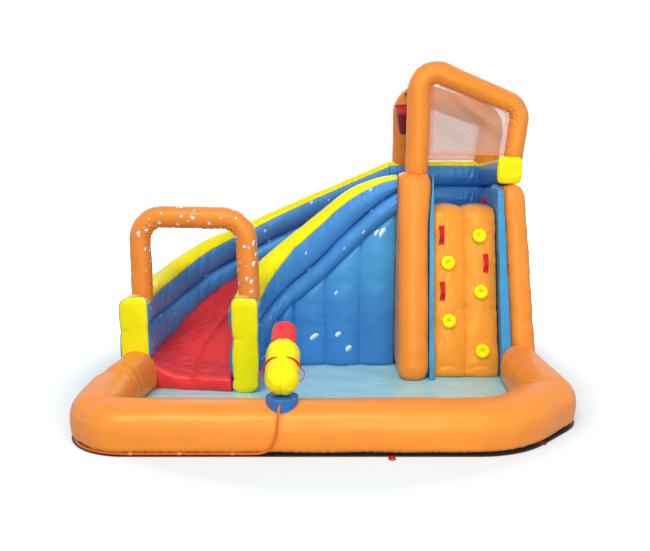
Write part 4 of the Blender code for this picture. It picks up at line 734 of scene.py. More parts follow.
# Woven polyester webbing
WEBBING = Fabric("red_polyester_webbing", "CE2228", roughness=0.7, creases=0.0004)
# Rubber hose and its moulded fitting
HOSE = Fabric("orange_rubber_hose", "E8762A", roughness=0.35, creases=0.0)
FITTING = Fabric("yellow_moulded_plastic", "F0D02A", roughness=0.3, creases=0.0)


def held(
    made: bpy.types.Object, slot: str, *nodes: str, body: str = "park", fill: float | None = 0.95
) -> bpy.types.Object:
    """Args:
        made: the piece.
        slot: the record's material slot; not used.
        nodes: the CAD nodes it stands for.
        body: the body it moves with.
        fill: how full its padding is, or None if it isn't padded; not used.

    Returns:
        The piece.
    """
    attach(made, body)
    if nodes:
        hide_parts(*nodes)
    LOG.info("%s: %d points", made.name, len(made.data.vertices))
    return made


def cloth(skin: Skin, name: str, finish: Fabric, slot: str, node: str,
          thick: float = 0.0012) -> bpy.types.Object:
    """Makes a thin sheet.

    Args:
        skin: its shape.
        name: the object's name.
        finish: its fabric.
        slot: the record's material slot.
        node: the CAD node it stands for.
        thick: its thickness.

    Returns:
        The sheet.
    """
    made = held(skin.build(name, finish, thick), slot, node, fill=None)
    along = np.linalg.norm(np.diff(skin.points, axis=0), axis=2).sum(axis=0)
    across = np.linalg.norm(np.diff(skin.points, axis=1), axis=2).sum(axis=1)
    return made


# Slide

SLIDE_ROUTE = Route(((BED_X, back(1.335)), (BED_X, back(BED_BACK)), (TOWER_X, back(BED_BACK))), (0, 0.85, 0))
SLIDE_LENGTH = SLIDE_ROUTE.length


def slide_place(share: Array, offset: Array, height: Array) -> Array:
    """Points beside the slide's middle line, outward positive. The mouth is cut askew.

    Args:
        share: share of the way up.
        offset: distance outwards.
        height: world Z.

    Returns:
        Points, with x, y and z last.
    """
    spots = SLIDE_ROUTE.beside(share * SLIDE_LENGTH, offset, height)
    way = SLIDE_ROUTE.at(share * SLIDE_LENGTH)[1]
    skew = MOUTH_SKEW * offset * np.clip(1 - share / 0.12, 0, 1)
    spots[..., :2] += way * np.asarray(skew)[..., None]
    return spots


def top_strip(skin: Skin, first: Array, columns: int = 29) -> Skin:
    """The panel sewn over a tube's top, on the tube's own relief, between its two seams.

    Args:
        skin: the tube, dressed, with its columns evenly round it.
        first: each row's angle at which the panel starts on one side.
        columns: points across the panel.

    Returns:
        The panel as an open skin.
    """
    over = Skin(skin.points, True).push(np.full(skin.points.shape[:2], 0.002)).points
    share = np.linspace(0, 1, columns)[None, :]
    angle = first[:, None] + (math.pi - 2 * first[:, None]) * share
    place = angle / (2 * math.pi) * over.shape[1]
    low = np.floor(place).astype(int)
    rows = np.arange(len(over))[:, None]
    part = (place - low)[..., None]
    points = over[rows, low] * (1 - part) + over[rows, low + 1] * part
    seam = np.minimum(angle - first[:, None], math.pi - first[:, None] - angle) * HALF_BOLSTER
    return Skin(points, False, (0, 0, 1), seam)


@dataclass(frozen=True)
class Bolster:
    """Two stacked tubes on one side of the slide, with a top panel and the quilted wall under them; its end cap is
    built on its own.
    """

    name: str
    side: int
    mouth_top: float
    top: float
    rises: tuple
    tube_shares: tuple
    wall_finish: Fabric
    strip_from: tuple
    rows: int = 300

    def crest(self, share: Array) -> Array:
        """The upper tube's top, by share of the way up."""
        return self.mouth_top + (self.top - self.mouth_top) * table_curve(self.rises, share)

    def tube_height(self, share: Array, index: int) -> Array:
        """One tube's upright height: a share of its plain height, by the way up.

        Args:
            share: share of the way up.
            index: 0 is the upper tube.

        Returns:
            The heights.
        """
        return TUBE_TALL * table_curve(self.tube_shares[index], share)

    def span(self, share: Array, index: int) -> tuple[Array, Array]:
        """Lowest and highest level of the upper (0) or lower (1) tube.

        Args:
            share: share of the way up.
            index: which tube.

        Returns:
            The two levels.
        """
        high = self.crest(share)
        for above in range(index):
            high = high - self.tube_height(share, above)
        return high - self.tube_height(share, index) + GAP, high

    def skin(self, index: int) -> tuple[Skin, Array, Array]:
        """One tube, dressed.

        Args:
            index: 0 is the upper tube.

        Returns:
            The skin, its runs and its angles.
        """
        share = np.linspace(0, 1, self.rows)
        low, high = self.span(share, index)
        middle = (low + high) / 2

        def place(part: Array, across: Array, up: Array) -> Array:
            """A point beside the tube's own middle line."""
            level = np.interp(part, share, middle)
            return slide_place(part, self.side * OFFSET + across, level + up)

        half = HALF_BOLSTER + 0.014 * np.exp(-share / 0.07)
        made, angle = tube(place, share, half, (high - low) / 2 + 0.002, power=2.35)
        centre = made.points.mean(axis=1)
        run = np.concatenate(((0.0,), np.cumsum(np.linalg.norm(np.diff(centre, axis=0), axis=1))))
        total = float(run[-1])
        folds = (
            Fold(total * 0.15, total * 0.10, math.pi, 0.9, 0.014, 0.15),
            Fold(total * 0.34, total * 0.12, math.pi, 0.9, 0.010, 0.17),
            Fold(total * 0.60, total * 0.20, math.pi, 0.8, 0.005, 0.19),
        )
        first = np.radians(table_curve(self.strip_from, share))[:, None]
        lines = (first, math.pi - first) if index == 0 else (math.radians(90), math.radians(-90))
        sewing = Sewing(lines=lines, groove=0.003, pucker=0.0018, folds=folds, seed=11 + index * 7 + self.side,
                        slack=0.0028, slack_size=0.30, neck=0.003)
        return sewing.dress(made, run, angle, HALF_BOLSTER), run, angle

    def build(self) -> None:
        """Builds both tubes, the top panel and the wall under them."""
        for index, which in enumerate(("upper", "lower")):
            skin = self.skin(index)[0]
            skin.closed(0.0, 0.0, 3)
            held(skin.build(f"{self.name}_bolster_{which}_tube", BLUE), "blue_fabric", f"{self.name}_bolster_{which}")
        self.build_panel()
        self.build_wall()

    def build_panel(self) -> None:
        """The yellow panel, on the upper tube's own relief."""
        share = np.linspace(0, 1, self.rows)
        strip = top_strip(self.skin(0)[0], np.radians(table_curve(self.strip_from, share)))
        cloth(strip, f"{self.name}_top_strip", YELLOW, "yellow_fabric", f"{self.name}_top_panel",
              0.0015)

    def build_wall(self) -> None:
        """The quilted wall below, round at its head and foot in each channel."""
        share = np.linspace(0, 1, 420)
        line = slide_place(share, self.side * OFFSET + 0 * share, 0 * share)
        run = share * float(np.linalg.norm(np.diff(line, axis=0), axis=1).sum())
        foot = self.span(share, 1)[0] - GAP
        pitch = float(run[-1]) / 8
        full_width = quilt(run, pitch)

        def place(part: Array, across: Array, up: Array) -> Array:
            """A point beside the wall's middle line, at a world height."""
            return slide_place(part, self.side * OFFSET + across, up)

        levels = np.concatenate((np.linspace(0, 0.08, 9), np.linspace(0.12, 0.88, 34), np.linspace(0.92, 1, 9)))
        tall = foot - BASE_Z + 0.012
        up = BASE_Z + tall[:, None] * np.concatenate((levels, levels[::-1]))[None, :]
        near = np.minimum(up - BASE_Z, (BASE_Z + tall)[:, None] - up)
        half = 0.07 * full_width[:, None] - rounded(near, 0.07) * 0.7
        sign = np.concatenate((np.ones(len(levels)), -np.ones(len(levels))))[None, :]
        part = share[:, None] + 0 * up
        skin = Skin(place(part, sign * np.maximum(half, 0.012), up))
        gap = nearest(run[:, None] % pitch, (0.0, pitch)) + 0 * up
        wrinkle = 0.004 * np.exp(-gap / 0.05) * ripple(up + 0.3 * run[:, None], 0.075, 31 + self.side)
        skin.seam = gap
        skin.push(wrinkle + 0.003 * crumple(skin.points, 0.26, 17 + self.side))
        held(skin.build(f"{self.name}_quilted_wall", self.wall_finish),
             "blue_fabric" if self.side < 0 else "orange_fabric", f"{self.name}_side_wall")


INNER = Bolster(
    "inner", -1, 0.815, 1.75,
    ((0, 0), (0.15, 0.02), (0.25, 0.08), (0.35, 0.174), (0.40, 0.22), (0.50, 0.317), (0.60, 0.419), (0.65, 0.476),
     (0.70, 0.583), (0.75, 0.692), (0.80, 0.804), (0.85, 0.888), (0.90, 0.948), (0.95, 0.986), (1, 1)),
    (((0, 1.47), (0.20, 1.64), (0.35, 1.87), (0.65, 1.86), (0.80, 1.62), (0.90, 1.16), (1, 0.55)),
     ((0, 1.49), (0.20, 1.40), (0.35, 1.06), (0.45, 0.81), (0.60, 0.81), (0.80, 0.92), (1, 0.85))),
    BLUE_WALL, ((0, 8), (0.5, 14), (0.8, 26), (1, 34))
)
OUTER = Bolster(
    "outer", 1, 0.80, 1.83,
    ((0, 0), (0.15, 0.024), (0.20, 0.052), (0.25, 0.088), (0.30, 0.143), (0.35, 0.209), (0.40, 0.277), (0.50, 0.395),
     (0.60, 0.55), (0.65, 0.629), (0.70, 0.683), (0.80, 0.791), (0.90, 0.895), (1, 1)),
    (((0, 1.19), (0.15, 1.30), (0.25, 1.45), (0.40, 1.32), (0.50, 1.19), (0.60, 1.11), (0.80, 1.085), (1, 1)),
     ((0, 1.36), (0.15, 1.36), (0.25, 1.255), (0.40, 1.0), (0.60, 1.0), (0.80, 1.06), (1, 1))),
    ORANGE, ((0, 26), (0.5, 30), (1, 36))
)


@dataclass(frozen=True)
class SlideBed:
    """The red bed: two soft channels, a front face down to the floor and a short skirt at each side.

    Its outer edge is drawn out and up to meet the bolster, so it stands off its CAD node there.
    """

    half_width: float = 0.34
    spread: float = 0.042
    lip: float = 0.135
    crown: float = 0.026
    rises: tuple = (
        (0.0, 0.0), (0.10, 0.02), (0.20, 0.10), (0.30, 0.21), (0.40, 0.345), (0.60, 0.58),
        (0.80, 0.81), (0.92, 0.945), (1.0, 1.0)
    )

    def build(self) -> None:
        """Builds the bed as rows up its front face and then up the slide."""
        across = np.linspace(-1, 1, 81)
        face = np.linspace(0, 1, 16)[:-1]
        share = np.linspace(0, 1, 300)
        height = self.lip + (PLATFORM_Z - self.lip) * table_curve(self.rises, share)
        bulge = np.abs(np.sin(math.pi * across)) ** 0.6 - 0.25 * (np.abs(across) > 0.999)
        crown = self.crown * (bulge - 1) - 0.010 * np.exp(-((across / 0.035) ** 2))
        edge = np.clip(across, 0, 1)[None, :] ** 3
        under = np.maximum(OUTER.span(share, 1)[0] + 0.075 - height, 0)[:, None] * edge
        soft = 1 - 0.55 * np.exp(-share / 0.06)
        aside = across * self.half_width + self.spread * edge + 0 * share[:, None]
        top = slide_place(share[:, None] + 0 * across, aside,
                          height[:, None] + crown[None, :] * soft[:, None] + under)
        front = np.repeat(top[:1], len(face), axis=0)
        front[..., 2] = BASE_Z + (top[:1, :, 2] - BASE_Z) * face[:, None]
        ahead = 0.030 * np.sin(math.pi * np.clip(face * 1.05, 0, 1)) ** 0.6 * (0.55 + 0.45 * bulge[None, :].mean())
        front[..., 1] -= ahead[:, None] * (0.5 + 0.5 * bulge[None, :])
        points = np.concatenate((front, top))
        skirt = [points[:, side : side + 1].copy() if side == 0 else points[:, -1:].copy() for side in (0, 1)]
        for edge in skirt:
            edge[..., 2] = np.maximum(BASE_Z, edge[..., 2] - 0.12)
        skin = Skin(np.concatenate((skirt[0], points, skirt[1]), axis=1), False, (0, -0.4, 1))
        columns = np.concatenate(((-1.0,), across, (1.0,)))
        run = np.concatenate((face * self.lip - self.lip, share * SLIDE_LENGTH))[:, None]
        seam = np.minimum(np.abs(columns)[None, :] * self.half_width, np.abs(run)) + 0 * run
        seam = np.minimum(seam, (1 - np.abs(columns))[None, :] * self.half_width + 0.01)
        skin.seam = seam
        folds = 0.005 * np.exp(-np.abs(columns[None, :]) / 0.35) * ripple(run, 0.11, 5)
        creases = -0.007 * np.exp(-((run / 0.012) ** 2)) + 0.006 * crumple(skin.points, 0.30, 9)
        skin.push(folds + creases + 0.0025 * crumple(skin.points, 0.10, 19))
        held(skin.build("slide_bed_pad", RED), "red_fabric", "slide_bed", fill=0.9)


@dataclass(frozen=True)
class EndCap:
    """A padded plate over the end of a chamber, with lobes down its sides and a blue piping."""

    name: str
    nodes: tuple[str, ...]
    place: Callable[[Array, Array, Array], Array]
    low: float
    high: float
    lobes: tuple[float, ...]
    left: float = -0.105
    right: float = 0.100
    scallop: float = 0.016
    right_scallop: float = 0.004
    depth: float = 0.034
    foot_round: float = 0.0
    slope: float = 0.0
    shoulder: float = 0.0
    square: float = 3.2
    piped: bool = True
    finish: Fabric = YELLOW
    slot: str = "yellow_fabric"

    def build(self) -> None:
        """Builds the plate from rows by height and columns across, domed forward by a root of a sum."""
        level = np.linspace(0, 1, 150)
        height = self.low + (self.high - self.low) * level
        marks = np.array((self.high, *self.lobes, self.low))
        part = np.zeros_like(level)
        for top, foot in zip(marks, marks[1:]):
            inside = (height <= top) & (height >= foot)
            part = np.where(inside, np.abs(np.sin(math.pi * (top - height) / (top - foot))) ** 0.45, part)
        ends = np.minimum(height - self.low, self.high - height)
        draw = rounded(ends, 0.055) * 0.75
        foot = rounded(height - self.low, 0.09) * self.foot_round
        left = self.left + self.scallop * (1 - part) + draw + rounded(self.high - height, 0.11) * self.shoulder
        right = self.right - self.right_scallop * (1 - part) - draw - foot
        across = np.linspace(-1, 1, 41)
        middle, half = (left + right) / 2, (right - left) / 2
        x = middle[:, None] + half[:, None] * across[None, :]
        rim = np.clip(1 - np.abs(across)[None, :] ** self.square, 0, 1) * np.clip(ends / 0.06, 0, 1)[:, None] ** 0.8
        height = height[:, None] - self.slope * (0.5 - 0.5 * across[None, :]) * (level[:, None] ** 5)
        notch = np.exp(-((nearest(height, tuple(self.lobes)) / 0.018) ** 2))
        dent = 1 - 0.22 * notch * np.clip(-across + 0.1, 0, 1)[None, :]
        ahead = self.depth * np.clip(rim, 0, 1) ** 0.42 * dent + GAP
        front = self.place(x, ahead, height)
        rear = self.place(x, 0 * x + GAP, height)
        skin = Skin(np.concatenate((front, rear[:, ::-1]), axis=1))
        edge = (1 - np.abs(across))[None, :] * half[:, None]
        skin.seam = np.concatenate((edge, edge[:, ::-1] * 0), axis=1)
        skin.push(0.0022 * crumple(skin.points, 0.14, len(self.name)))
        held(skin.build(f"{self.name}_plate", self.finish), self.slot, *self.nodes)
        if self.piped:
            self.piping(x, height)

    def piping(self, x: Array, height: Array) -> None:
        """The blue bead sewn round the plate's rim.

        Args:
            x: the plate's columns across.
            height: the levels of the same points.
        """
        outline = np.concatenate((
            np.stack((x[:, -1], height[:, -1]), axis=1), np.stack((x[::-1, 0], height[::-1, 0]), axis=1)
        ))
        centre = self.place(outline[:, 0], np.full(len(outline), 0.004), outline[:, 1])
        skin = swept(np.concatenate((centre, centre[:1])), 0.0045, 8)
        held(skin.build(f"{self.name}_piping", BLUE_PLAIN), "blue_fabric", fill=0.9)


def swept(centre: Array, radius: Any, sides: int) -> Skin:
    """A round tube along any line in space, with frames that don't twist.

    Args:
        centre: the line's points.
        radius: one radius or one for each point.
        sides: columns round it.

    Returns:
        The skin.
    """
    way = np.gradient(centre, axis=0)
    way /= np.maximum(np.linalg.norm(way, axis=1, keepdims=True), 1e-9)
    up = np.zeros_like(way)
    start = np.array((0.0, 0.0, 1.0)) if abs(way[0, 2]) < 0.9 else np.array((1.0, 0.0, 0.0))
    for k, heading in enumerate(way):
        start = start - heading * float(start @ heading)
        start = start / max(float(np.linalg.norm(start)), 1e-9)
        up[k] = start
    aside = np.cross(way, up)
    angle = np.linspace(0, 2 * math.pi, sides, endpoint=False)[None, :, None]
    reach = np.reshape(np.broadcast_to(radius, len(centre)), (-1, 1, 1))
    return Skin(centre[:, None] + reach * (np.cos(angle) * aside[:, None] + np.sin(angle) * up[:, None]))


# Pool


def mouth_y(x: Any) -> Any:
    """World Y of the mouth's skewed plane at this x."""
    return back(1.335) - MOUTH_SKEW * (x - BED_X)


def lean(height: Any, base: float, top: float) -> Any:
    """A place on the tower's sloping front, by height.

    Args:
        height: world Z.
        base: how far back it stands at the ground.
        top: how far back it stands at the left column's top.

    Returns:
        World Y.
    """
    return back(base + (top - base) * height / COLUMN_TOP)


def fan(x: float, height: Any) -> Any:
    """The tower's front spreads from the left column's side towards its foot.

    Args:
        x: the place's x at the column's top.
        height: world Z.

    Returns:
        x at that height.
    """
    return 0.875 + (x - 0.875) * (1 + 0.08 * (1 - height / COLUMN_TOP))


POOL_ROUTE = Route(
    (
        (BED_X - OFFSET, mouth_y(BED_X - OFFSET)), (-1.665, back(0.92)), (-1.665, back(0.20)), (1.22, back(0.20)),
        (1.665, back(0.66)), (1.642, lean(BASE_Z, 1.52, 1.86)),
    ),
    (0, 0.14, 0.27, 0.48, 0.20, 0),
)


@dataclass(frozen=True)
class Pool:
    """The pool wall, the floor and the sheet under the whole park."""

    half_width: float = 0.203
    tall: float = 0.324
    end_share: float = 0.78

    def width_share(self, run: Array) -> Array:
        """The wall's width share along its route: each arm is narrower behind its bend."""
        bends = POOL_ROUTE.corner_runs()
        step = np.clip((run - bends[0] + 0.01) / 0.09, 0, 1)
        left = step * step * (3 - 2 * step)
        right = np.clip((POOL_ROUTE.length - run) / (POOL_ROUTE.length - bends[3]), 0, 1) ** 0.8
        return self.end_share + (1 - self.end_share) * np.minimum(left, right)

    def build(self) -> None:
        """Builds the wall and the two sheets."""
        self.build_wall()
        self.build_sheets()

    def build_wall(self) -> None:
        """The wall: round above, flat below, creased at its corners."""
        run = np.linspace(0, POOL_ROUTE.length, 900)
        angle = np.linspace(0, 2 * math.pi, 84, endpoint=False)
        upper = np.sin(angle) > 0
        across = np.where(upper, full(np.cos(angle), 2.25), full(np.cos(angle), 5.0))
        up = np.where(upper, 0.42 + 0.58 * full(np.sin(angle), 2.25), 0.42 + 0.42 * full(np.sin(angle), 5.0))
        bends = POOL_ROUTE.corner_runs()
        drawn = 0.10 * np.exp(-(((run - bends[0]) / 0.05) ** 2)) + 0.045 * np.exp(-(((run - bends[1]) / 0.045) ** 2))
        drawn = drawn + 0.03 * np.exp(-(((run - bends[3]) / 0.03) ** 2))
        half = self.half_width * self.width_share(run) * (1 - drawn)
        offset = -across[None, :] * half[:, None]
        height = BASE_Z + self.tall * up[None, :] * (1 - drawn)[:, None] + 0 * offset
        points = POOL_ROUTE.beside(run[:, None] + 0 * offset, offset, height)
        first = np.exp(-((run / 0.05) ** 2))[:, None]
        points[..., 1] += first * (mouth_y(points[..., 0]) - 0.036 - points[..., 1])
        last = np.exp(-(((run[-1] - run) / 0.05) ** 2))[:, None]
        points[..., 1] += last * (lean(height, 1.52, 1.86) - 0.001 - points[..., 1])
        corners = POOL_ROUTE.corner_runs()
        folds = (
            Fold(corners[0], 0.13, math.pi, 1.3, 0.040, 0.16), Fold(corners[1], 0.14, math.pi, 1.2, 0.045, 0.17),
            Fold(corners[1], 0.12, 1.2, 0.9, 0.010, 0.18), Fold(corners[2], 0.25, math.pi, 1.0, 0.010, 0.15),
            Fold(corners[3], 0.12, math.pi, 1.2, 0.024, 0.15),
        )
        sewing = Sewing(lines=(-0.75, math.pi + 0.75), rings=(corners[0], corners[1], corners[3]), groove=0.004,
                        pucker=0.003, slack=0.003, slack_size=0.4, folds=folds, seed=3, ends=0.004, neck=0.004,
                        end_reach=0.05)
        skin = sewing.dress(Skin(points), run, angle, 0.18)
        skin.points[..., 2] = np.maximum(skin.points[..., 2], BASE_Z)
        skin.closed(0.0, 0.0, 4)
        held(skin.build("pool_wall_tube", ORANGE), "orange_fabric", "pool_wall")

    def outline(self, margin: float, count: int) -> Array:
        """The sheets' outline: round the pool wall's foot, the tower and the slide.

        Args:
            margin: how far it stands out.
            count: points round it.

        Returns:
            x and y, evenly spaced round a closed line.
        """
        run = np.linspace(0.15, POOL_ROUTE.length - 0.12, 160)
        half = self.half_width * 0.76 * self.width_share(run)
        pool = POOL_ROUTE.beside(run, -(half + margin), 0 * run)[:, :2]
        right = fan(1.7056, BASE_Z) + margin
        rear = back(BED_BACK) + OFFSET + 0.07 + margin
        tower = np.array((
            (right, lean(BASE_Z, 1.52, 1.86) + 0.12), (right, back(2.18) + margin),
            (1.655 + margin, back(2.18) + margin),
            (1.655 + margin, rear),
        ))
        slide = slide_place(np.linspace(1, 0, 60), OFFSET + 0.07 + margin, 0 * np.linspace(1, 0, 60))[:, :2]
        line = np.concatenate((pool, tower, slide, pool[:1]))
        steps = np.concatenate(((0.0,), np.cumsum(np.linalg.norm(np.diff(line, axis=0), axis=1))))
        wanted = np.linspace(0, steps[-1], count, endpoint=False)
        return np.stack((np.interp(wanted, steps, line[:, 0]), np.interp(wanted, steps, line[:, 1])), axis=1)

    def build_sheets(self) -> None:
        """Both sheets: rows from a point in the middle out to the outline, with soft waves."""
        for name, finish, slot, margin, level, wave, node, seed in (
            ("ground_cloth", BLACK, "black_sheet", 0.044, 0.0036, 0.0, "ground_sheet", 3),
            ("pool_floor_cloth", AQUA, "aqua_sheet", -0.030, 0.0080, 0.006, "pool_floor", 4),
        ):
            line = self.outline(margin, 360)
            middle = np.array((0.15, back(1.25)))
            share = np.linspace(0.0004, 1, 130)[:, None, None]
            flat = middle + (line[None] - middle) * share
            waviness = 0.5 + 0.5 * crumple(np.concatenate((flat, 0 * flat[..., :1]), axis=2), 0.30, seed)
            height = level + wave * waviness * (1 - share[..., 0] ** 6)
            points = np.concatenate((flat, height[..., None]), axis=2)
            skin = Skin(np.concatenate((points, points[:, :1]), axis=1), False, (0, 0, 1))
            made = held(skin.build(name, finish, 0.0012), slot, node, fill=None)


# Tower

REAR_ROUTE = Route(
    ((TOWER_X + GAP, back(BED_BACK) + OFFSET), (1.585, back(BED_BACK) + OFFSET), (1.585, back(1.97))), (0, 0.16, 0)
)
REAR_STRIP = math.radians(40)
CLIMB_LEFT, CLIMB_RIGHT = 0.9203, 1.4603
RIGHT_LEFT, RIGHT_RIGHT = 1.5056, 1.7056
RIGHT_SPREAD = 0.045


@dataclass(frozen=True)
class RearSide:
    """The two tubes, the top panel, the end cap and the quilted wall round the platform."""

    top: float = 1.83
    front_top: float = 1.92

    def span(self, run: Array, index: int) -> tuple[Array, Array]:
        """Lowest and highest level of the upper (0) or lower (1) tube.

        Args:
            run: distances along the route.
            index: which tube.

        Returns:
            The two levels.
        """
        turned = REAR_ROUTE.trace()[0][-2]
        rise = np.clip((run - turned) / (REAR_ROUTE.length - turned), 0, 1)
        high = self.top + (self.front_top - self.top) * rise
        low = high - TUBE_TALL
        return (low + GAP, high) if index == 0 else (PLATFORM_Z + 0 * high, low)

    def skin(self, index: int) -> tuple[Skin, Array, Array]:
        """One tube, dressed.

        Args:
            index: 0 is the upper tube.

        Returns:
            The skin, its runs and its angles.
        """
        last = REAR_ROUTE.length - (0 if index == 0 else 0.21 + GAP)
        run = np.linspace(0, last, 220)
        low, high = self.span(run, index)

        def place(where: Array, across: Array, up: Array) -> Array:
            """A point beside the tube's middle line, above its middle height."""
            return REAR_ROUTE.beside(where, across, np.interp(where, run, (low + high) / 2) + up)

        made, angle = tube(place, run, 0 * run + HALF_BOLSTER, (high - low) / 2 + 0.002, power=2.35)
        corner = REAR_ROUTE.corner_runs()[0]
        sewing = Sewing(
            lines=(REAR_STRIP, math.pi - REAR_STRIP) if index == 0 else (math.pi / 2,), groove=0.003,
            folds=(Fold(corner, 0.14, math.pi, 1.0, 0.030, 0.10),), rings=(corner - 0.2,), seed=41 + index, neck=0.006
        )
        return sewing.dress(made, run, angle, HALF_BOLSTER), run, angle

    def build(self) -> None:
        """Builds all of it."""
        for index, which in enumerate(("upper", "lower")):
            skin = self.skin(index)[0].closed(0.0, 0.0, 3)
            held(skin.build(f"rear_bolster_{which}_tube", BLUE_PLAIN), "blue_fabric", f"rear_bolster_{which}")
        skin = self.skin(0)[0]
        strip = top_strip(skin, np.full(len(skin.points), REAR_STRIP))
        cloth(strip, "rear_top_strip", YELLOW, "yellow_fabric", "rear_top_panel",
              0.0015)
        low, high = (float(v) for v in self.span(np.array(REAR_ROUTE.length), 0))
        EndCap(
            "rear_end_cap", ("rear_end_cap",),
            lambda x, ahead, z: np.stack((1.585 + x, back(1.97) - ahead, z), axis=-1),
            low, high, (), -0.108, 0.108, 0.0, 0.0, square=9.0, piped=False
        ).build()
        self.build_wall()

    def build_wall(self) -> None:
        """The orange quilted wall from the ground to the platform."""
        run = np.linspace(0, REAR_ROUTE.length - 0.21 - GAP, 420)
        pitch = float(run[-1]) / 7
        tall = PLATFORM_Z - GAP - BASE_Z
        levels = np.concatenate((np.linspace(0, 0.06, 9), np.linspace(0.1, 0.9, 34), np.linspace(0.94, 1, 9)))
        up = BASE_Z + tall * np.concatenate((levels, levels[::-1]))[None, :] + 0 * run[:, None]
        near = np.minimum(up - BASE_Z, BASE_Z + tall - up)
        half = 0.07 * quilt(run, pitch)[:, None] - rounded(near, 0.07) * 0.7
        sign = np.concatenate((np.ones(len(levels)), -np.ones(len(levels))))[None, :]
        skin = Skin(REAR_ROUTE.beside(run[:, None] + 0 * up, sign * np.maximum(half, 0.012), up))
        gap = nearest(run[:, None] % pitch, (0.0, pitch)) + 0 * up
        skin.seam = gap
        skin.push(0.004 * np.exp(-gap / 0.05) * ripple(up + 0.3 * run[:, None], 0.075, 53)
                  + 0.003 * crumple(skin.points, 0.26, 54))
        held(skin.build("rear_quilted_panels", ORANGE), "orange_fabric", "rear_panels")


@dataclass(frozen=True)
class Column:
    """An upright chamber of the tower with a sloping rounded front and a domed head."""

    name: str
    node: str
    finish: Fabric
    slot: str
    left: Callable[[Array], Array]
    right: Callable[[Array], Array]
    height: float
    setback: float = 0.0
    depth: float = 0.12
    dome: float = 0.085
    foot: float = 0.05
    fullness: float = 2.5
    seed: int = 1

    def build(self) -> None:
        """Builds the column: at each level a boxy rear and an oval front, drawn in at head and foot."""
        level = np.concatenate((
            BASE_Z + np.linspace(0, 0.1, 12)[:-1], np.linspace(BASE_Z + 0.1, self.height - 0.12, 120),
            np.linspace(self.height - 0.12, self.height, 20)[1:]
        ))
        inset = rounded(self.height - level, self.dome) * 0.8 + rounded(level - BASE_Z, self.foot) * 0.55
        angle = np.linspace(0, 2 * math.pi, 96, endpoint=False)
        left, right = self.left(level) + inset * 0.75, self.right(level) - inset * 0.75
        middle, half = (left + right) / 2, (right - left) / 2
        depth = min(self.depth, 0.12) + 0 * half
        face = lean(level, 1.52, 1.86) + self.setback + inset
        rear = back(2.18) - inset * 0.3
        ahead = np.sin(angle) > 0
        across = np.where(ahead, full(np.cos(angle), self.fullness), full(np.cos(angle), 9))
        x = middle[:, None] + half[:, None] * across[None, :]
        front = face[:, None] + depth[:, None] * (1 - full(np.sin(angle), self.fullness)[None, :])
        behind = (face + depth)[:, None] + (rear - face - depth)[:, None] * full(-np.sin(angle), 9)[None, :]
        y = np.where(ahead[None, :], front, behind)
        skin = Skin(np.stack(np.broadcast_arrays(x, y, level[:, None]), axis=-1))
        sewing = Sewing(lines=(math.radians(12), math.radians(168)), groove=0.003, pucker=0.002, slack=0.0028,
                        seed=self.seed, ends=0.006, end_reach=0.07, neck=0.0)
        skin = sewing.dress(skin, level, angle, half.mean()).closed(None, 0.02, 5)
        held(skin.build(self.name, self.finish), self.slot, self.node)


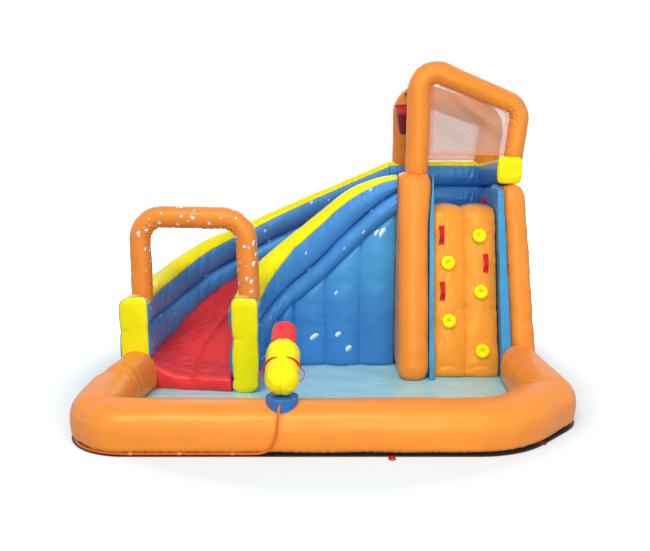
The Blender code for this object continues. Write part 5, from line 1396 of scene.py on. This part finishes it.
@dataclass(frozen=True)
class ClimbingWall:
    """The orange wall of two channels with its footholds and webbing handles."""

    height: float = 1.49
    depth: float = 0.034
    dome: float = 0.10

    def front(self, height: Any) -> Any:
        """World Y of the channels' crowns at a height."""
        return lean(height, 1.63, 1.955)

    def build(self) -> None:
        """Builds the wall, then what is sewn to it."""
        share = np.linspace(0, 1, 97)
        channel = np.abs(np.sin(2 * math.pi * share))
        bulge = channel ** 0.55
        height = np.concatenate((np.linspace(BASE_Z, 0.12, 24)[:-1], np.linspace(0.12, self.height - self.dome, 130)))
        turn = np.linspace(0, math.pi / 2, 22)[1:]
        top = self.height + 0.028 * channel**0.8 - 0.022
        rise = np.concatenate((height - height.max(), np.sin(turn) * self.dome))
        level = (top - self.dome)[None, :] + rise[:, None]
        lift = (level[len(height) - 1] - height.max())[None, :]
        level[: len(height)] = height[:, None] + lift * (height / height.max())[:, None] ** 3
        over = np.concatenate((0 * height, (1 - np.cos(turn)) * 0.11))
        foot = rounded(level - BASE_Z, 0.06) * 0.75
        left, right = fan(CLIMB_LEFT, level) - 0.015 * (1 - level / COLUMN_TOP), fan(CLIMB_RIGHT, level) - 0.012
        x = left + (right - left) * share[None, :]
        y = self.front(level) + self.depth * (1 - bulge)[None, :] + over[:, None] + foot * (0.6 + 0.6 * bulge)[None, :]
        body = np.stack((x, y, level), axis=-1)
        rear = body[-1:].copy()
        rear[..., 1] = back(2.178)
        drop = rear.copy()
        drop[..., 2] = PLATFORM_Z - 0.1
        skin = Skin(np.concatenate((body, rear, drop)), False, (0, -1, 0.2))
        rows = len(skin.points)
        gap = nearest(share[None, :], (0.0, 0.5, 1.0)) * 0.56 + np.zeros((rows, 1))
        run = np.concatenate((height, height[-1] + turn * self.dome, (1.9, 2.1)))[:, None]
        skin.seam = gap
        for channel_side, z in FOOTHOLDS:
            centre = np.array((fan(CLIMB_LEFT, z) + 0.54 * (0.25 + 0.5 * channel_side), z))
            away = np.hypot(skin.points[..., 0] - centre[0], skin.points[..., 2] - centre[1])
            around = np.arctan2(skin.points[..., 2] - centre[1], skin.points[..., 0] - centre[0])
            rim = np.exp(-(np.abs(away - 0.07) / 0.03))
            skin.push(-0.007 * np.exp(-((away / 0.095) ** 2)) + 0.0012 * rim * np.sin(7 * around + z * 9))
        skin.push(0.0020 * np.exp(-gap / 0.04) * ripple(run, 0.09, 61) + 0.0045 * crumple(skin.points, 0.28, 62)
                  + 0.0008 * crumple(skin.points, 0.09, 63) - self.arcs(share[None, :], skin.points[..., 2]))
        held(skin.build("climbing_wall_pad", ORANGE_SOFT), "orange_fabric", "climbing_wall")
        for number, (channel_side, z) in enumerate(FOOTHOLDS, 1):
            self.foothold(number, channel_side, z)
        for number, (channel_side, z) in enumerate(HANDLES, 1):
            centre, out, up = self.frame_at(channel_side, z)
            centre = centre + np.array((0.052 if channel_side else -0.05, 0, 0))
            made = strap(centre, out, up, 0.165, 0.045, 0.035).build(f"climbing_strap_{number}", WEBBING)
            held(made, "red_webbing", f"climbing_handle_{number}", fill=None)

    def arcs(self, share: Array, height: Array) -> Array:
        """Soft arc creases that follow each channel's domed head and scalloped foot.

        Args:
            share: share of the wall's width.
            height: world Z.

        Returns:
            Metres to draw in.
        """
        bow = np.abs(np.sin(2 * math.pi * share))
        creases = ((self.height - 0.17, 0.060, 0.004), (0.07, 0.05, 0.005))
        return sum(
            deep * np.exp(-(((height - place - tall * bow) / 0.02) ** 2)) * bow**0.5 for place, tall, deep in creases
        )

    def frame_at(self, channel: int, height: float) -> tuple[Array, Array, Array]:
        """Where a fitting sits on a channel's crown.

        Args:
            channel: 0 is the left one.
            height: world Z.

        Returns:
            The point, the outward normal and the way up.
        """
        left, right = fan(CLIMB_LEFT, height), fan(CLIMB_RIGHT, height)
        slope = (1.955 - 1.63) / COLUMN_TOP
        size = math.hypot(1, slope)
        aside = 0.008 + 0.014 * height / self.height
        point = np.array((left + (right - left) * (0.25 + 0.5 * channel) - aside, self.front(height), height))
        return point, np.array((0, -1, slope)) / size, np.array((0, slope, 1)) / size

    def foothold(self, number: int, channel: int, height: float) -> None:
        """A round knob with a drawn-in middle, puckered all round.

        Args:
            number: which foothold.
            channel: 0 is the left channel.
            height: world Z.
        """
        centre, out, up = self.frame_at(channel, height)
        radius, depth = 0.0625, 0.037
        share = np.linspace(0, 1, 26)
        reach = radius * np.interp(share, (0, 0.12, 0.35, 0.6, 0.8, 1), (1.0, 1.02, 0.93, 0.62, 0.30, 0.03))
        lift = depth * table_curve(((0, -0.1), (0.15, 0.42), (0.38, 0.92), (0.6, 1.0), (0.8, 0.84), (1, 0.55)), share)
        angle = np.linspace(0, 2 * math.pi, 56, endpoint=False)
        aside = np.cross(up, out)
        rays = np.cos(angle)[:, None] * aside + np.sin(angle)[:, None] * up
        points = centre + reach[:, None, None] * rays[None] + lift[:, None, None] * out
        skin = Skin(points, True)
        skin.facing = tuple(out)
        skin.seam = np.broadcast_to(np.abs(share - 0.12)[:, None] * 0.08, points.shape[:2])
        inner = np.exp(-(((share - 0.85) / 0.22) ** 2))[:, None]
        broad, fine = spokes(angle, 5, 13, 70 + number)[None, :], spokes(angle, 9, 20, number)[None, :]
        skin.push(0.0030 * inner * broad + 0.0008 * fine)
        held(skin.build(f"foothold_pad_{number}", YELLOW), "yellow_fabric", f"foothold_{number}")


FOOTHOLDS = ((1, 1.242), (0, 1.009), (1, 0.759), (0, 0.509), (1, 0.251))
HANDLES = ((0, 1.247), (1, 1.005), (0, 0.765))
ORANGE_SOFT = Fabric("orange_coated_nylon_soft", "F29834", creases=0.0020)


def strap(centre: Array, out: Array, along: Array, length: float, width: float, rise: float) -> Skin:
    """A webbing strap with its folded ends sewn down and its middle bowed clear.

    Args:
        centre: the middle of its seat.
        out: the seat's outward normal.
        along: the strap's way.
        length: from end to end.
        width: across.
        rise: how far its middle bows out.

    Returns:
        The strap as a ring of edges round its section, row by row.
    """
    across = np.cross(along, out)
    patch = length * 0.18
    share = np.linspace(0, 1, 60)
    run = (share - 0.5) * length
    middle = np.clip((share * length - patch) / (length - 2 * patch), 0, 1)
    lift = rise * np.sin(math.pi * middle) ** 0.7
    slope = np.gradient(lift, run)
    thick = np.where((share < 0.17) | (share > 0.83), 0.0045, 0.0024)
    tilt = 1 / np.hypot(1, slope)
    narrow = width / 2 * (1 - 0.16 * np.sin(math.pi * middle) ** 0.5)
    rows = []
    for side, layer in ((-1, 0), (-0.33, 0), (0.33, 0), (1, 0), (1, 1), (0.33, 1), (-0.33, 1), (-1, 1)):
        ahead = run - slope * tilt * thick * layer
        high = lift + tilt * thick * layer + GAP
        rows.append(centre + ahead[:, None] * along + high[:, None] * out + (side * narrow)[:, None] * across)
    return Skin(np.stack(rows, axis=1))


# Frames and nets


@dataclass(frozen=True)
class Frame:
    """An upright air tube through corners in one plane: the spray arch or a tower frame."""

    name: str
    node: str
    finish: Fabric
    corners: tuple
    radius: float
    bend: float
    depth_at: Callable[[Array], Array]
    rings: tuple[float, ...] = ()
    seed: int = 1
    neck: float = 0.004
    thinner: float = 0.0
    kept_edge: float = 1.0

    @property
    def route(self) -> Route:
        """Its route in x and z."""
        return Route(self.corners, (0, *[self.bend] * (len(self.corners) - 2), 0))

    def build(self) -> None:
        """Builds the tube with a mitre seam at each corner."""
        route = self.route
        run = np.linspace(0, route.length, int(route.length / 0.008))
        angle = np.linspace(0, 2 * math.pi, 64, endpoint=False)
        radius = self.radius_at(run)[:, None]
        aside = self.kept_edge * (self.radius - radius)
        flat = route.beside(run[:, None] + 0 * angle, radius * np.cos(angle) + aside, 0)
        x, z = flat[..., 0], flat[..., 1]
        points = np.stack((x, self.depth_at(x) + radius * np.sin(angle), z), axis=-1)
        corners = route.corner_runs()
        folds = tuple(Fold(c, 0.13, math.pi, 1.15, 0.016, 0.055) for c in corners)
        sewing = Sewing(lines=(math.pi,), rings=corners + self.rings, groove=0.005, pucker=0.0032, pitch=0.045,
                        reach=0.05, slack=0.0022, folds=folds, seed=self.seed, ends=0.008, end_reach=0.05,
                        neck=self.neck)
        skin = sewing.dress(Skin(points), run, angle, self.radius).closed(0.0, 0.0, 3)
        held(skin.build(self.name, self.finish), "orange_fabric", self.node)

    def radius_at(self, run: Array) -> Array:
        """The tube's radius, which changes between its two corners and keeps one edge.

        Args:
            run: distances along it.

        Returns:
            The radii.
        """
        first, last = self.route.corner_runs()
        return self.radius - self.thinner * np.clip((run - first) / (last - first), 0, 1)

    def inner(self) -> Array:
        """The frame's inner edge in x and z."""
        run = np.linspace(0, self.route.length, 900)
        radius = self.radius_at(run)
        side = self.route.beside(run, self.kept_edge * (self.radius - radius) - radius, 0)
        return side[:, :2]


ARCH = Frame(
    "spray_arch_tube", "spray_arch", ORANGE_PRINT,
    ((-1.567, 0.765), (-1.567, 1.45), (-0.678, 1.45), (-0.658, 0.775)), 0.09, 0.20,
    lambda x: back(1.51 + (1.40 - 1.51) * (x + 1.567) / 0.909), seed=21, neck=0.004
)
FRONT_FRAME = Frame(
    "front_frame_tube", "front_frame", ORANGE,
    ((0.785, 1.7753), (0.792, 2.71), (1.662, 2.335), (1.612, 1.88)), 0.102, 0.15, lambda x: back(2.075) + 0 * x,
    seed=23, thinner=0.020
)
REAR_FRAME = Frame(
    "rear_frame_tube", "rear_frame", ORANGE,
    ((0.74, 1.79), (0.74, 2.55), (1.60, 2.239), (1.54, 1.79)), 0.099, 0.17, lambda x: back(2.95) + 0 * x, seed=25,
    thinner=-0.024, kept_edge=-1.0
)


@dataclass(frozen=True)
class Net:
    """A fine net laced inside a frame, slack enough to sag, with a hem all round."""

    name: str
    node: str
    frame: Frame
    foot: float
    seed: int

    def build(self) -> None:
        """Builds the net as rows by height between the frame's inner edges."""
        edge = self.frame.inner()
        height = np.linspace(self.foot, float(edge[:, 1].max()) - 0.004, 90)
        start = float(edge[0, 0])
        right = []
        for z in height:
            crossing = edge[np.abs(edge[:, 1] - z) < 0.004]
            right.append(float(crossing[:, 0].max()))
        right = np.array(right)
        share = np.linspace(0, 1, 110)
        x = start + (right - start)[:, None] * share[None, :]
        z = height[:, None] + 0 * x
        upward = np.sin(math.pi * (height - height[0]) / (height[-1] - height[0]))
        sag = np.sin(math.pi * share)[None, :] * upward[:, None]
        drape = 0.018 * ripple(0.62 * x + 0.78 * z, 0.17, self.seed)
        drape = drape + 0.009 * crumple(np.stack((x, 0 * x, z + 0.5 * x), axis=-1), 0.22, self.seed)
        y = self.frame.depth_at(x) + 0.03 * sag + drape * (0.35 + sag)
        skin = Skin(np.stack((x, y, z), axis=-1), False, (0, -1, 0))
        low = (z - self.foot) + 0 * x
        side = np.minimum(x - start, right[:, None] - x)
        skin.seam = np.minimum(low, side)
        made = held(skin.build(self.name, NET), "net_white", self.node, fill=None)
        line = np.stack((x[0], y[0], z[0]), axis=1)
        held(swept(line, 0.004, 8).build(self.name + "_hem_cord", ORANGE), "orange_fabric", fill=None)


@dataclass(frozen=True)
class NetFabric(Fabric):
    """Fine white netting: threads that leave most of each mesh open, and a closed hem."""

    pitch: float = 0.003
    open_share: float = 0.52
    hem_colour: str = "DB9079"
    hem: float = 0.035

    def material(self) -> bpy.types.Material:
        """Makes the material, once.

        Returns:
            The material.
        """
        known = bpy.data.materials.get(self.name)
        if known:
            return known
        made = bpy.data.materials.new(self.name)
        made.use_nodes = True
        tree = made.node_tree
        tree.nodes.clear()
        uv = add(tree, "UVMap", uv_map="UVMap").outputs["UV"]
        seam = add(tree, "Attribute", attribute_name="seam").outputs["Fac"]
        fine = add(tree, "Mapping", {"Vector": uv, "Scale": (math.pi / self.pitch,) * 2 + (1.0,)}).outputs[0]
        waves = add(tree, "VectorMath", {0: fine}, operation="SINE").outputs[0]
        sizes = add(tree, "VectorMath", {0: waves}, operation="ABSOLUTE").outputs[0]
        parts = add(tree, "SeparateXYZ", {0: sizes})
        least = add(tree, "Math", {0: parts.outputs[0], 1: parts.outputs[1]}, operation="MINIMUM").outputs[0]
        hole = add(tree, "Math", {0: least, 1: 1 - self.open_share}, operation="GREATER_THAN").outputs[0]
        body = add(tree, "Math", {0: seam, 1: self.hem}, operation="GREATER_THAN").outputs[0]
        clear = add(tree, "MapRange", {0: body, 1: 0.0, 2: 1.0, 3: 0.30, 4: hole}).outputs[0]
        colours = {0: body, 6: linear(self.hem_colour), 7: linear(self.colour)}
        colour = add(tree, "Mix", colours, data_type="RGBA").outputs[2]
        shader = add(tree, "BsdfPrincipled", {"Base Color": colour, "Roughness": 0.7})
        glass = add(tree, "BsdfTransparent")
        both = add(tree, "MixShader", {0: clear, 1: shader.outputs[0], 2: glass.outputs[0]})
        add(tree, "OutputMaterial", {"Surface": both.outputs[0]})
        made.diffuse_color = linear(self.colour)
        return made


# Knitted polyester net
NET = NetFabric("white_polyester_net", "CBA898", roughness=0.8)


def left_edge(height: Array) -> Array:
    """The left column's right edge, which swells over the liner near its head.

    Args:
        height: world Z.

    Returns:
        x at that height.
    """
    return 0.8747 + 0.024 * np.clip((height - 1.15) / 0.5, 0, 1) ** 2


def right_edge(x: float, height: Array) -> Array:
    """A side of the right column, which spreads more towards its foot than the climbing wall does.

    Args:
        x: the side's x at the left column's top.
        height: world Z.

    Returns:
        x at that height.
    """
    return fan(x, height) + RIGHT_SPREAD * (1 - height / COLUMN_TOP)


@dataclass(frozen=True)
class Tower:
    """The climbing tower: columns, liners, climbing wall, platform, rear side, frames and nets."""

    def build(self) -> None:
        """Builds the tower's pieces in order."""
        Column("left_column_tube", "left_column", ORANGE, "orange_fabric", lambda z: 0.605 + 0 * z,
               left_edge, COLUMN_TOP, seed=31, foot=0.13, dome=0.095).build()
        Column("right_column_tube", "right_column", ORANGE, "orange_fabric", lambda z: right_edge(RIGHT_LEFT, z),
               lambda z: right_edge(RIGHT_RIGHT, z), 1.672, seed=33, dome=0.10).build()
        Column("left_liner_strip", "left_liner", LIGHT_BLUE, "light_blue_fabric", lambda z: left_edge(z) + GAP,
               lambda z: fan(CLIMB_LEFT, z) - GAP, 1.745, setback=0.055, depth=0.03, dome=0.03, foot=0.02,
               fullness=9.0, seed=35).build()
        Column("right_liner_strip", "right_liner", LIGHT_BLUE, "light_blue_fabric", lambda z: fan(CLIMB_RIGHT, z) + GAP,
               lambda z: right_edge(RIGHT_LEFT, z) - GAP, 1.66, setback=0.022, depth=0.03, dome=0.05, foot=0.02,
               fullness=9.0, seed=37).build()
        ClimbingWall().build()
        self.build_platform()
        RearSide().build()
        made = strap(np.array((1.585 - 0.108, back(2.42), 1.50)), np.array((-1.0, 0, 0)), np.array((0, 1.0, 0)),
                     0.165, 0.045, 0.035).build("platform_strap", WEBBING)
        held(made, "red_webbing", "platform_handle", fill=None)
        FRONT_FRAME.build()
        REAR_FRAME.build()
        Net("front_net_cloth", "front_net", FRONT_FRAME, 1.93, 81).build()
        Net("rear_net_cloth", "rear_net", REAR_FRAME, 1.846, 83).build()

    def build_platform(self) -> None:
        """The blue pad behind the climbing wall."""
        x = np.linspace(TOWER_X, 1.5147, 60)
        middle, half = (back(2.1803) + back(2.8703)) / 2, (back(2.8703) - back(2.1803)) / 2
        angle = np.linspace(0, 2 * math.pi, 72, endpoint=False)
        y = middle + half * full(np.cos(angle), 12)
        z = 1.2944 + 0.065 * full(np.sin(angle), 4)
        points = np.stack(np.broadcast_arrays(x[:, None], y[None, :], z[None, :]), axis=-1)
        skin = Skin(points.copy()).push(0.002 * crumple(points, 0.2, 91)).closed(0.0, 0.0, 3)
        held(skin.build("platform_pad", BLUE_PLAIN), "blue_fabric", "platform_floor")


# Bucket


@dataclass(frozen=True)
class Bucket:
    """The tipping bucket, which hangs on its webbing axle."""

    x: float = 0.7575
    back_by: float = 2.5125
    foot: float = 2.10

    def build(self) -> None:
        """Builds the bucket by turning its profile."""
        profile = np.array((
            (0.002, 0.005), (0.05, 0.004), (0.088, 0.006), (0.094, 0.02), (0.11, 0.10), (0.125, 0.20), (0.135, 0.262),
            (0.146, 0.264), (0.148, 0.272), (0.146, 0.279), (0.137, 0.28), (0.130, 0.272), (0.121, 0.20), (0.106, 0.10),
            (0.090, 0.025), (0.05, 0.010), (0.002, 0.010)
        ))
        steps = np.concatenate(((0.0,), np.cumsum(np.linalg.norm(np.diff(profile, axis=0), axis=1))))
        run = np.linspace(0, steps[-1], 110)
        reach, up = np.interp(run, steps, profile[:, 0]), np.interp(run, steps, profile[:, 1])
        angle = np.linspace(0, 2 * math.pi, 72, endpoint=False)
        wobble = 1 + 0.012 * spokes(angle, 2, 7, 95)[None, :] * (up / 0.28)[:, None]
        x = self.x + reach[:, None] * np.cos(angle)[None, :] * wobble
        y = back(self.back_by) + reach[:, None] * np.sin(angle)[None, :] * wobble
        skin = Skin(np.stack(np.broadcast_arrays(x, y, self.foot + up[:, None]), axis=-1))
        skin.seam = np.broadcast_to(np.minimum(np.abs(up - 0.262), np.abs(up - 0.01))[:, None], x.shape)
        # The bucket's material paints shade: dark red below the top band.
        held(skin.build("bucket_cloth", BUCKET_RED_PAINTED_SHADE), "red_fabric", "tipping_bucket", body="bucket", fill=0.5)


# Water cannon


@dataclass(frozen=True)
class Cannon:
    """The water cannon: base on the pool wall, tilting barrel, nozzle and handles; the turning collar keeps its CAD
    shape.
    """

    x: float = -0.325
    back_by: float = 0.17
    radius: float = 0.12
    reach: float = 0.21
    tilt: float = math.radians(30)
    pitch_z: float = 0.5029
    back_share: float = 0.98

    def turned(self, profile: Array, sides: int = 64) -> Skin:
        """A profile turned about the barrel's own length.

        Args:
            profile: (radius, ahead) rows.
            sides: columns round it.

        Returns:
            The skin, in place.
        """
        angle = np.linspace(0, 2 * math.pi, sides, endpoint=False)
        ahead = np.array((0, math.cos(self.tilt), math.sin(self.tilt)))
        up = np.array((0, -math.sin(self.tilt), math.cos(self.tilt)))
        aside = np.array((1.0, 0, 0))
        centre = np.array((self.x, back(self.back_by), self.pitch_z))
        rays = np.cos(angle)[:, None] * aside + np.sin(angle)[:, None] * up
        return Skin(centre + profile[:, 0][:, None, None] * rays[None] + profile[:, 1][:, None, None] * ahead)

    def build(self) -> None:
        """Builds the drum, then the barrel, nozzle and handles on the cannon's body."""
        self.build_base()
        angle = np.linspace(0, 2 * math.pi, 64, endpoint=False)
        neck = 0.086 * 0.82
        floor = self.reach + math.sqrt(self.radius**2 - neck**2)
        turn = np.linspace(-math.pi / 2, math.pi / 2, 110)
        reach = self.radius * np.cos(turn)
        ahead = np.where(turn > 0, self.reach, 0.0) + self.radius * np.sin(turn)
        body = np.linspace(0, self.reach, 40)[1:-1]
        profile = np.concatenate((
            np.stack((reach, ahead), axis=1)[turn <= 0], np.stack((0 * body + self.radius, body), axis=1),
            np.stack((reach, ahead), axis=1)[(turn > 0) & (ahead < floor)]
        ))
        profile[0, 0] = 0.002
        # The back is a little shallow, so that it clears the collar at full pitch
        profile[:, 1] = np.where(profile[:, 1] < 0, profile[:, 1] * self.back_share, profile[:, 1])
        skin = self.turned(profile)
        gores = tuple(math.pi / 2 + math.pi * k / 3 for k in range(6))
        ends = np.abs(profile[:, 1] - self.reach / 2) / (self.reach / 2 + self.radius)
        line = apart(angle, gores)[None, :] * profile[:, 0][:, None]
        pleats = spokes(angle, 6, 20, 71)[None, :]
        amount = -0.0018 * np.exp(-((line / 0.008) ** 2)) + 0.0022 * (ends[:, None] ** 2) * pleats
        ring = nearest(profile[:, 1], (0.0, self.reach))[:, None]
        amount = amount - 0.0018 * np.exp(-((ring / 0.008) ** 2)) + 0.0012 * crumple(skin.points, 0.12, 72)
        skin.seam = np.minimum(line, ring + 0 * line)
        skin.push(amount)
        held(skin.build("cannon_barrel_tube", YELLOW), "yellow_fabric", "cannon_barrel", body="cannon")
        r, wall, foot, mouth = 0.092, 0.007, floor - 0.004, floor + 0.155
        share = np.linspace(0, 1, 40)
        flare = 0.90 + 0.10 * np.clip(share * 9, 0, 1) ** 0.5 - 0.06 * share
        outer = np.stack((r * flare, foot + (mouth - foot) * share), axis=1)
        lip = np.array(((r * 0.94 - 0.001, mouth + 0.002), (r * 0.94 - wall, mouth)))
        inner = np.stack((np.linspace(r * 0.94 - wall, r * 0.86, 16), np.linspace(mouth, foot + wall, 16)), axis=1)
        nozzle = self.turned(np.concatenate((outer, lip, inner, np.array(((0.02, foot + wall), (0.003, foot + wall))))))
        gather = np.exp(-np.abs(np.arange(len(nozzle.points)) - 2) / 7.0)[:, None]
        nozzle.push(0.0020 * gather * spokes(angle, 10, 26, 73)[None, :])
        held(nozzle.build("cannon_nozzle_sleeve", RED), "red_fabric", "cannon_nozzle", body="cannon")
        for side, name in ((-1, "left"), (1, "right")):
            thick = np.interp(np.linspace(0, 1, 60), (0, 0.2, 0.5, 1), (0.003, 0.008, 0.004, 0.004))
            made = swept(self.strap_line(side), thick, 10)
            held(made.build(f"cannon_strap_{name}", WEBBING), "red_webbing", f"cannon_handle_{name}",
                 body="cannon", fill=None)

    def strap_line(self, side: int) -> Array:
        """A handle's line: from the barrel's back round its side, then out in a loop and back.

        Args:
            side: minus one is the left one.

        Returns:
            Sixty points.
        """
        knots = np.array((
            (0.082, 16, 0.123), (0.084, 35, 0.125), (0.080, 58, 0.126), (0.076, 78, 0.128), (0.068, 88, 0.143),
            (0.046, 92, 0.154), (0.020, 95, 0.152), (-0.004, 97, 0.136), (-0.012, 98, 0.121)
        ))
        places = np.linspace(0, 1, len(knots))
        share = np.linspace(0, 1, 60)
        along, turn, reach = (table_curve(tuple(zip(places, knots[:, k])), share) for k in range(3))
        turn = np.radians(turn)
        ahead = np.array((0, math.cos(self.tilt), math.sin(self.tilt)))
        up = np.array((0, -math.sin(self.tilt), math.cos(self.tilt)))
        centre = np.array((self.x, back(self.back_by), self.pitch_z)) + along[:, None] * ahead
        aside = np.array((1.0, 0, 0))
        return centre + (reach * np.cos(turn))[:, None] * up + (side * reach * np.sin(turn))[:, None] * aside

    def build_base(self) -> None:
        """The blue drum: straight sides that gather into a scalloped foot on the pool wall."""
        angle = np.linspace(0, 2 * math.pi, 80, endpoint=False)
        share = np.linspace(0, 1, 46)
        across = np.sin(angle) * 0.118
        over = np.clip(1 - np.abs(across + back(self.back_by) - back(0.20)) / 0.20, 0, 1)
        foot = BASE_Z + 0.334 * (0.42 + 0.58 * (1 - (1 - over) ** 2.25) ** (1 / 2.25)) - 0.004
        top = 0.372
        radius = 0.112 + 0.002 * np.exp(-share / 0.12)
        gather = 1 + 0.006 * np.exp(-share / 0.16)[:, None] * spokes(angle, 9, 15, 75)[None, :]
        z = foot[None, :] + (top - foot)[None, :] * share[:, None]
        x = self.x + radius[:, None] * np.cos(angle)[None, :] * gather
        y = back(self.back_by) + radius[:, None] * np.sin(angle)[None, :] * gather
        skin = Skin(np.stack((x, y, z), axis=-1))
        skin.seam = np.broadcast_to((share * 0.15)[:, None], x.shape)
        # The drum's darker blue is painted shade.
        held(skin.build("cannon_base_drum", BLUE_PAINTED_SHADE), "blue_fabric", "cannon_base")


# Hose and small fittings


@dataclass(frozen=True)
class Fittings:
    """The hose and what stays as the CAD has it: connector, loops, anchor, axle and straps."""

    kept: tuple = (
        ("hose_connector", FITTING), ("hose_loop_1", ORANGE), ("hose_loop_2", ORANGE), ("hose_loop_3", ORANGE),
        ("hose_loop_4", ORANGE), ("anchor_front", WEBBING), ("anchor_right", WEBBING), ("anchor_rear", WEBBING),
        ("bucket_axle", WEBBING), ("frame_tie_strap", WEBBING),
        # The collar takes the same painted shade.
        ("bucket_filler", RED), ("cannon_collar", BLUE_PAINTED_SHADE), ("air_inlet_sleeve", ORANGE),
        ("deflation_flap", BLUE_PLAIN),
        ("hose", HOSE),
    )

    def build(self) -> None:
        """Gives the kept CAD pieces their finishes."""
        for name, finish in self.kept:
            for slot in bpy.data.objects[name].material_slots:
                slot.material = finish.material()
            LOG.info("%s keeps its CAD shape", name)


# Studio


@dataclass(frozen=True)
class Studio:
    """White backdrop, pale floor, a soft sun from the front left and wide soft lights."""

    lens: float = 43.81

    def build(self) -> None:
        """Sets up the world, the floor, the lights and the camera."""
        self.build_world()
        self.build_floor()
        sun = bpy.data.lights.new("key_sun", "SUN")
        sun.energy, sun.angle = 0.92, math.radians(20)
        self.place(sun, "key_sun", (-1.8, -4.2, 7.0), (0, 0, 0.6))
        for name, spot, target, size, power in (
            ("front_box", (-0.4, -4.0, 4.6), (0.0, -1.2, 0.3), (5.5, 0.7), 105.0),
            ("upright_box", (0.9, -8.2, 2.4), (0.6, 0.0, 1.2), (0.9, 4.2), 170.0),
            ("side_box", (5.0, -3.0, 3.0), (0.8, 0.5, 1.0), (2.0, 3.0), 25.0),
            ("rear_box", (0.0, 6.0, 4.0), (0.0, 1.0, 1.0), (5.0, 2.0), 60.0),
        ):
            light = bpy.data.lights.new(name, "AREA")
            light.shape = "RECTANGLE"
            light.size, light.size_y, light.energy = size[0], size[1], power
            self.place(light, name, spot, target)
        camera = bpy.data.cameras.new("camera")
        camera.lens, camera.sensor_width = self.lens, 36.0
        made = bpy.data.objects.new("camera", camera)
        bpy.context.scene.collection.objects.link(made)
        made.location = (-0.03, FRONT_Y - 5.0, 2.22)
        made.rotation_euler = (math.radians(79), 0, 0)
        bpy.context.scene.camera = made
        bpy.context.scene.view_settings.view_transform = "Standard"

    def place(self, light: bpy.types.Light, name: str, spot: tuple, target: tuple) -> None:
        """Puts a light in the scene and aims it.

        Args:
            light: the light.
            name: its name.
            spot: where it stands.
            target: what it is aimed at.
        """
        made = bpy.data.objects.new(name, light)
        bpy.context.scene.collection.objects.link(made)
        way = np.array(target, float) - np.array(spot, float)
        made.location = spot
        flat = math.hypot(way[0], way[1])
        made.rotation_euler = (math.atan2(flat, -way[2]), 0, math.atan2(way[1], way[0]) - math.pi / 2)

    def build_world(self) -> None:
        """White to the camera and in reflections, a dimmer even light to everything else."""
        world = bpy.data.worlds.new("studio")
        world.use_nodes = True
        tree = world.node_tree
        tree.nodes.clear()
        path = add(tree, "LightPath")
        rays = {0: path.outputs["Is Camera Ray"], 1: path.outputs["Is Transmission Ray"]}
        seen = add(tree, "Math", rays, operation="MAXIMUM")
        seen = add(tree, "Math", {0: seen.outputs[0], 1: path.outputs["Is Glossy Ray"]}, operation="MAXIMUM")
        dim = add(tree, "Background", {"Color": (1, 1, 1, 1), "Strength": 0.38})
        bright = add(tree, "Background", {"Color": (1, 1, 1, 1), "Strength": 1.0})
        both = add(tree, "MixShader", {0: seen.outputs[0], 1: dim.outputs[0], 2: bright.outputs[0]})
        add(tree, "OutputWorld", {"Surface": both.outputs[0]})
        bpy.context.scene.world = world

    def build_floor(self) -> None:
        """A pale floor that keeps the shadow and is white beyond it."""
        share = np.linspace(-1, 1, 9)
        x, y = np.meshgrid(share * 30, share * 30, indexing="ij")
        skin = Skin(np.stack((x, y, 0 * x - 0.0005), axis=-1), False, (0, 0, 1))
        made = skin.build("floor", FLOOR)


@dataclass(frozen=True)
class FloorFinish(Fabric):
    """Matte white board, lifted towards white so that only the contact shadow shows."""

    def material(self) -> bpy.types.Material:
        """Makes the material, once.

        Returns:
            The material.
        """
        made = bpy.data.materials.new(self.name)
        made.use_nodes = True
        tree = made.node_tree
        tree.nodes.clear()
        board = add(tree, "BsdfDiffuse", {"Color": linear(self.colour)})
        path = add(tree, "LightPath")
        where = add(tree, "TexCoord")
        away = add(tree, "VectorMath", {0: where.outputs["Object"]}, operation="LENGTH")
        share = add(tree, "MapRange", {"Value": away.outputs["Value"], "From Min": 2.0, "From Max": 3.3, "To Min": 0.26,
                                       "To Max": 1.1})
        lift = add(tree, "Math", {0: path.outputs["Is Camera Ray"], 1: share.outputs["Result"]}, operation="MULTIPLY")
        glow = add(tree, "Emission", {"Color": (1, 1, 1, 1), "Strength": lift.outputs[0]})
        both = add(tree, "AddShader", {0: board.outputs[0], 1: glow.outputs[0]})
        add(tree, "OutputMaterial", {"Surface": both.outputs[0]})
        return made


FLOOR = FloorFinish("matte_white_board", "C8D0D4")


def mouth_place(bolster: Bolster) -> Callable[[Array, Array, Array], Array]:
    """Places of an end cap on a bolster's mouth, x to the right as seen from the front.

    Args:
        bolster: the bolster.

    Returns:
        A function of x, ahead and height.
    """

    def place(x: Array, ahead: Array, height: Array) -> Array:
        """A point on the cap, ahead of the bolster's mouth."""
        spots = slide_place(0 * x, bolster.side * OFFSET - x, height)
        spots[..., 1] -= ahead
        return spots

    return place


def main() -> None:
    """Builds the park's pieces in order, then the studio."""
    logging.basicConfig(level=logging.INFO, format="%(message)s")
    Pool().build()
    SlideBed().build()
    INNER.build()
    OUTER.build()
    EndCap("left_end_cap", ("left_end_cap",), mouth_place(OUTER), 0.20, 0.802, (0.50,), left=-0.146, slope=0.012,
           shoulder=0.55).build()
    EndCap("right_end_cap", ("right_end_cap",), mouth_place(INNER), BASE_Z, 0.817, (0.47, 0.12), left=-0.096,
           right=0.124, foot_round=0.9).build()
    EndCap("slide_bed_corner", (), mouth_place(OUTER), BASE_Z, 0.199, (), -0.085, 0.112, 0.0, 0.0, 0.026, 0.0,
           piped=False, finish=RED, slot="red_fabric").build()
    ARCH.build()
    Tower().build()
    Bucket().build()
    Cannon().build()
    Fittings().build()
    Studio().build()


if __name__ == "__main__":
    main()
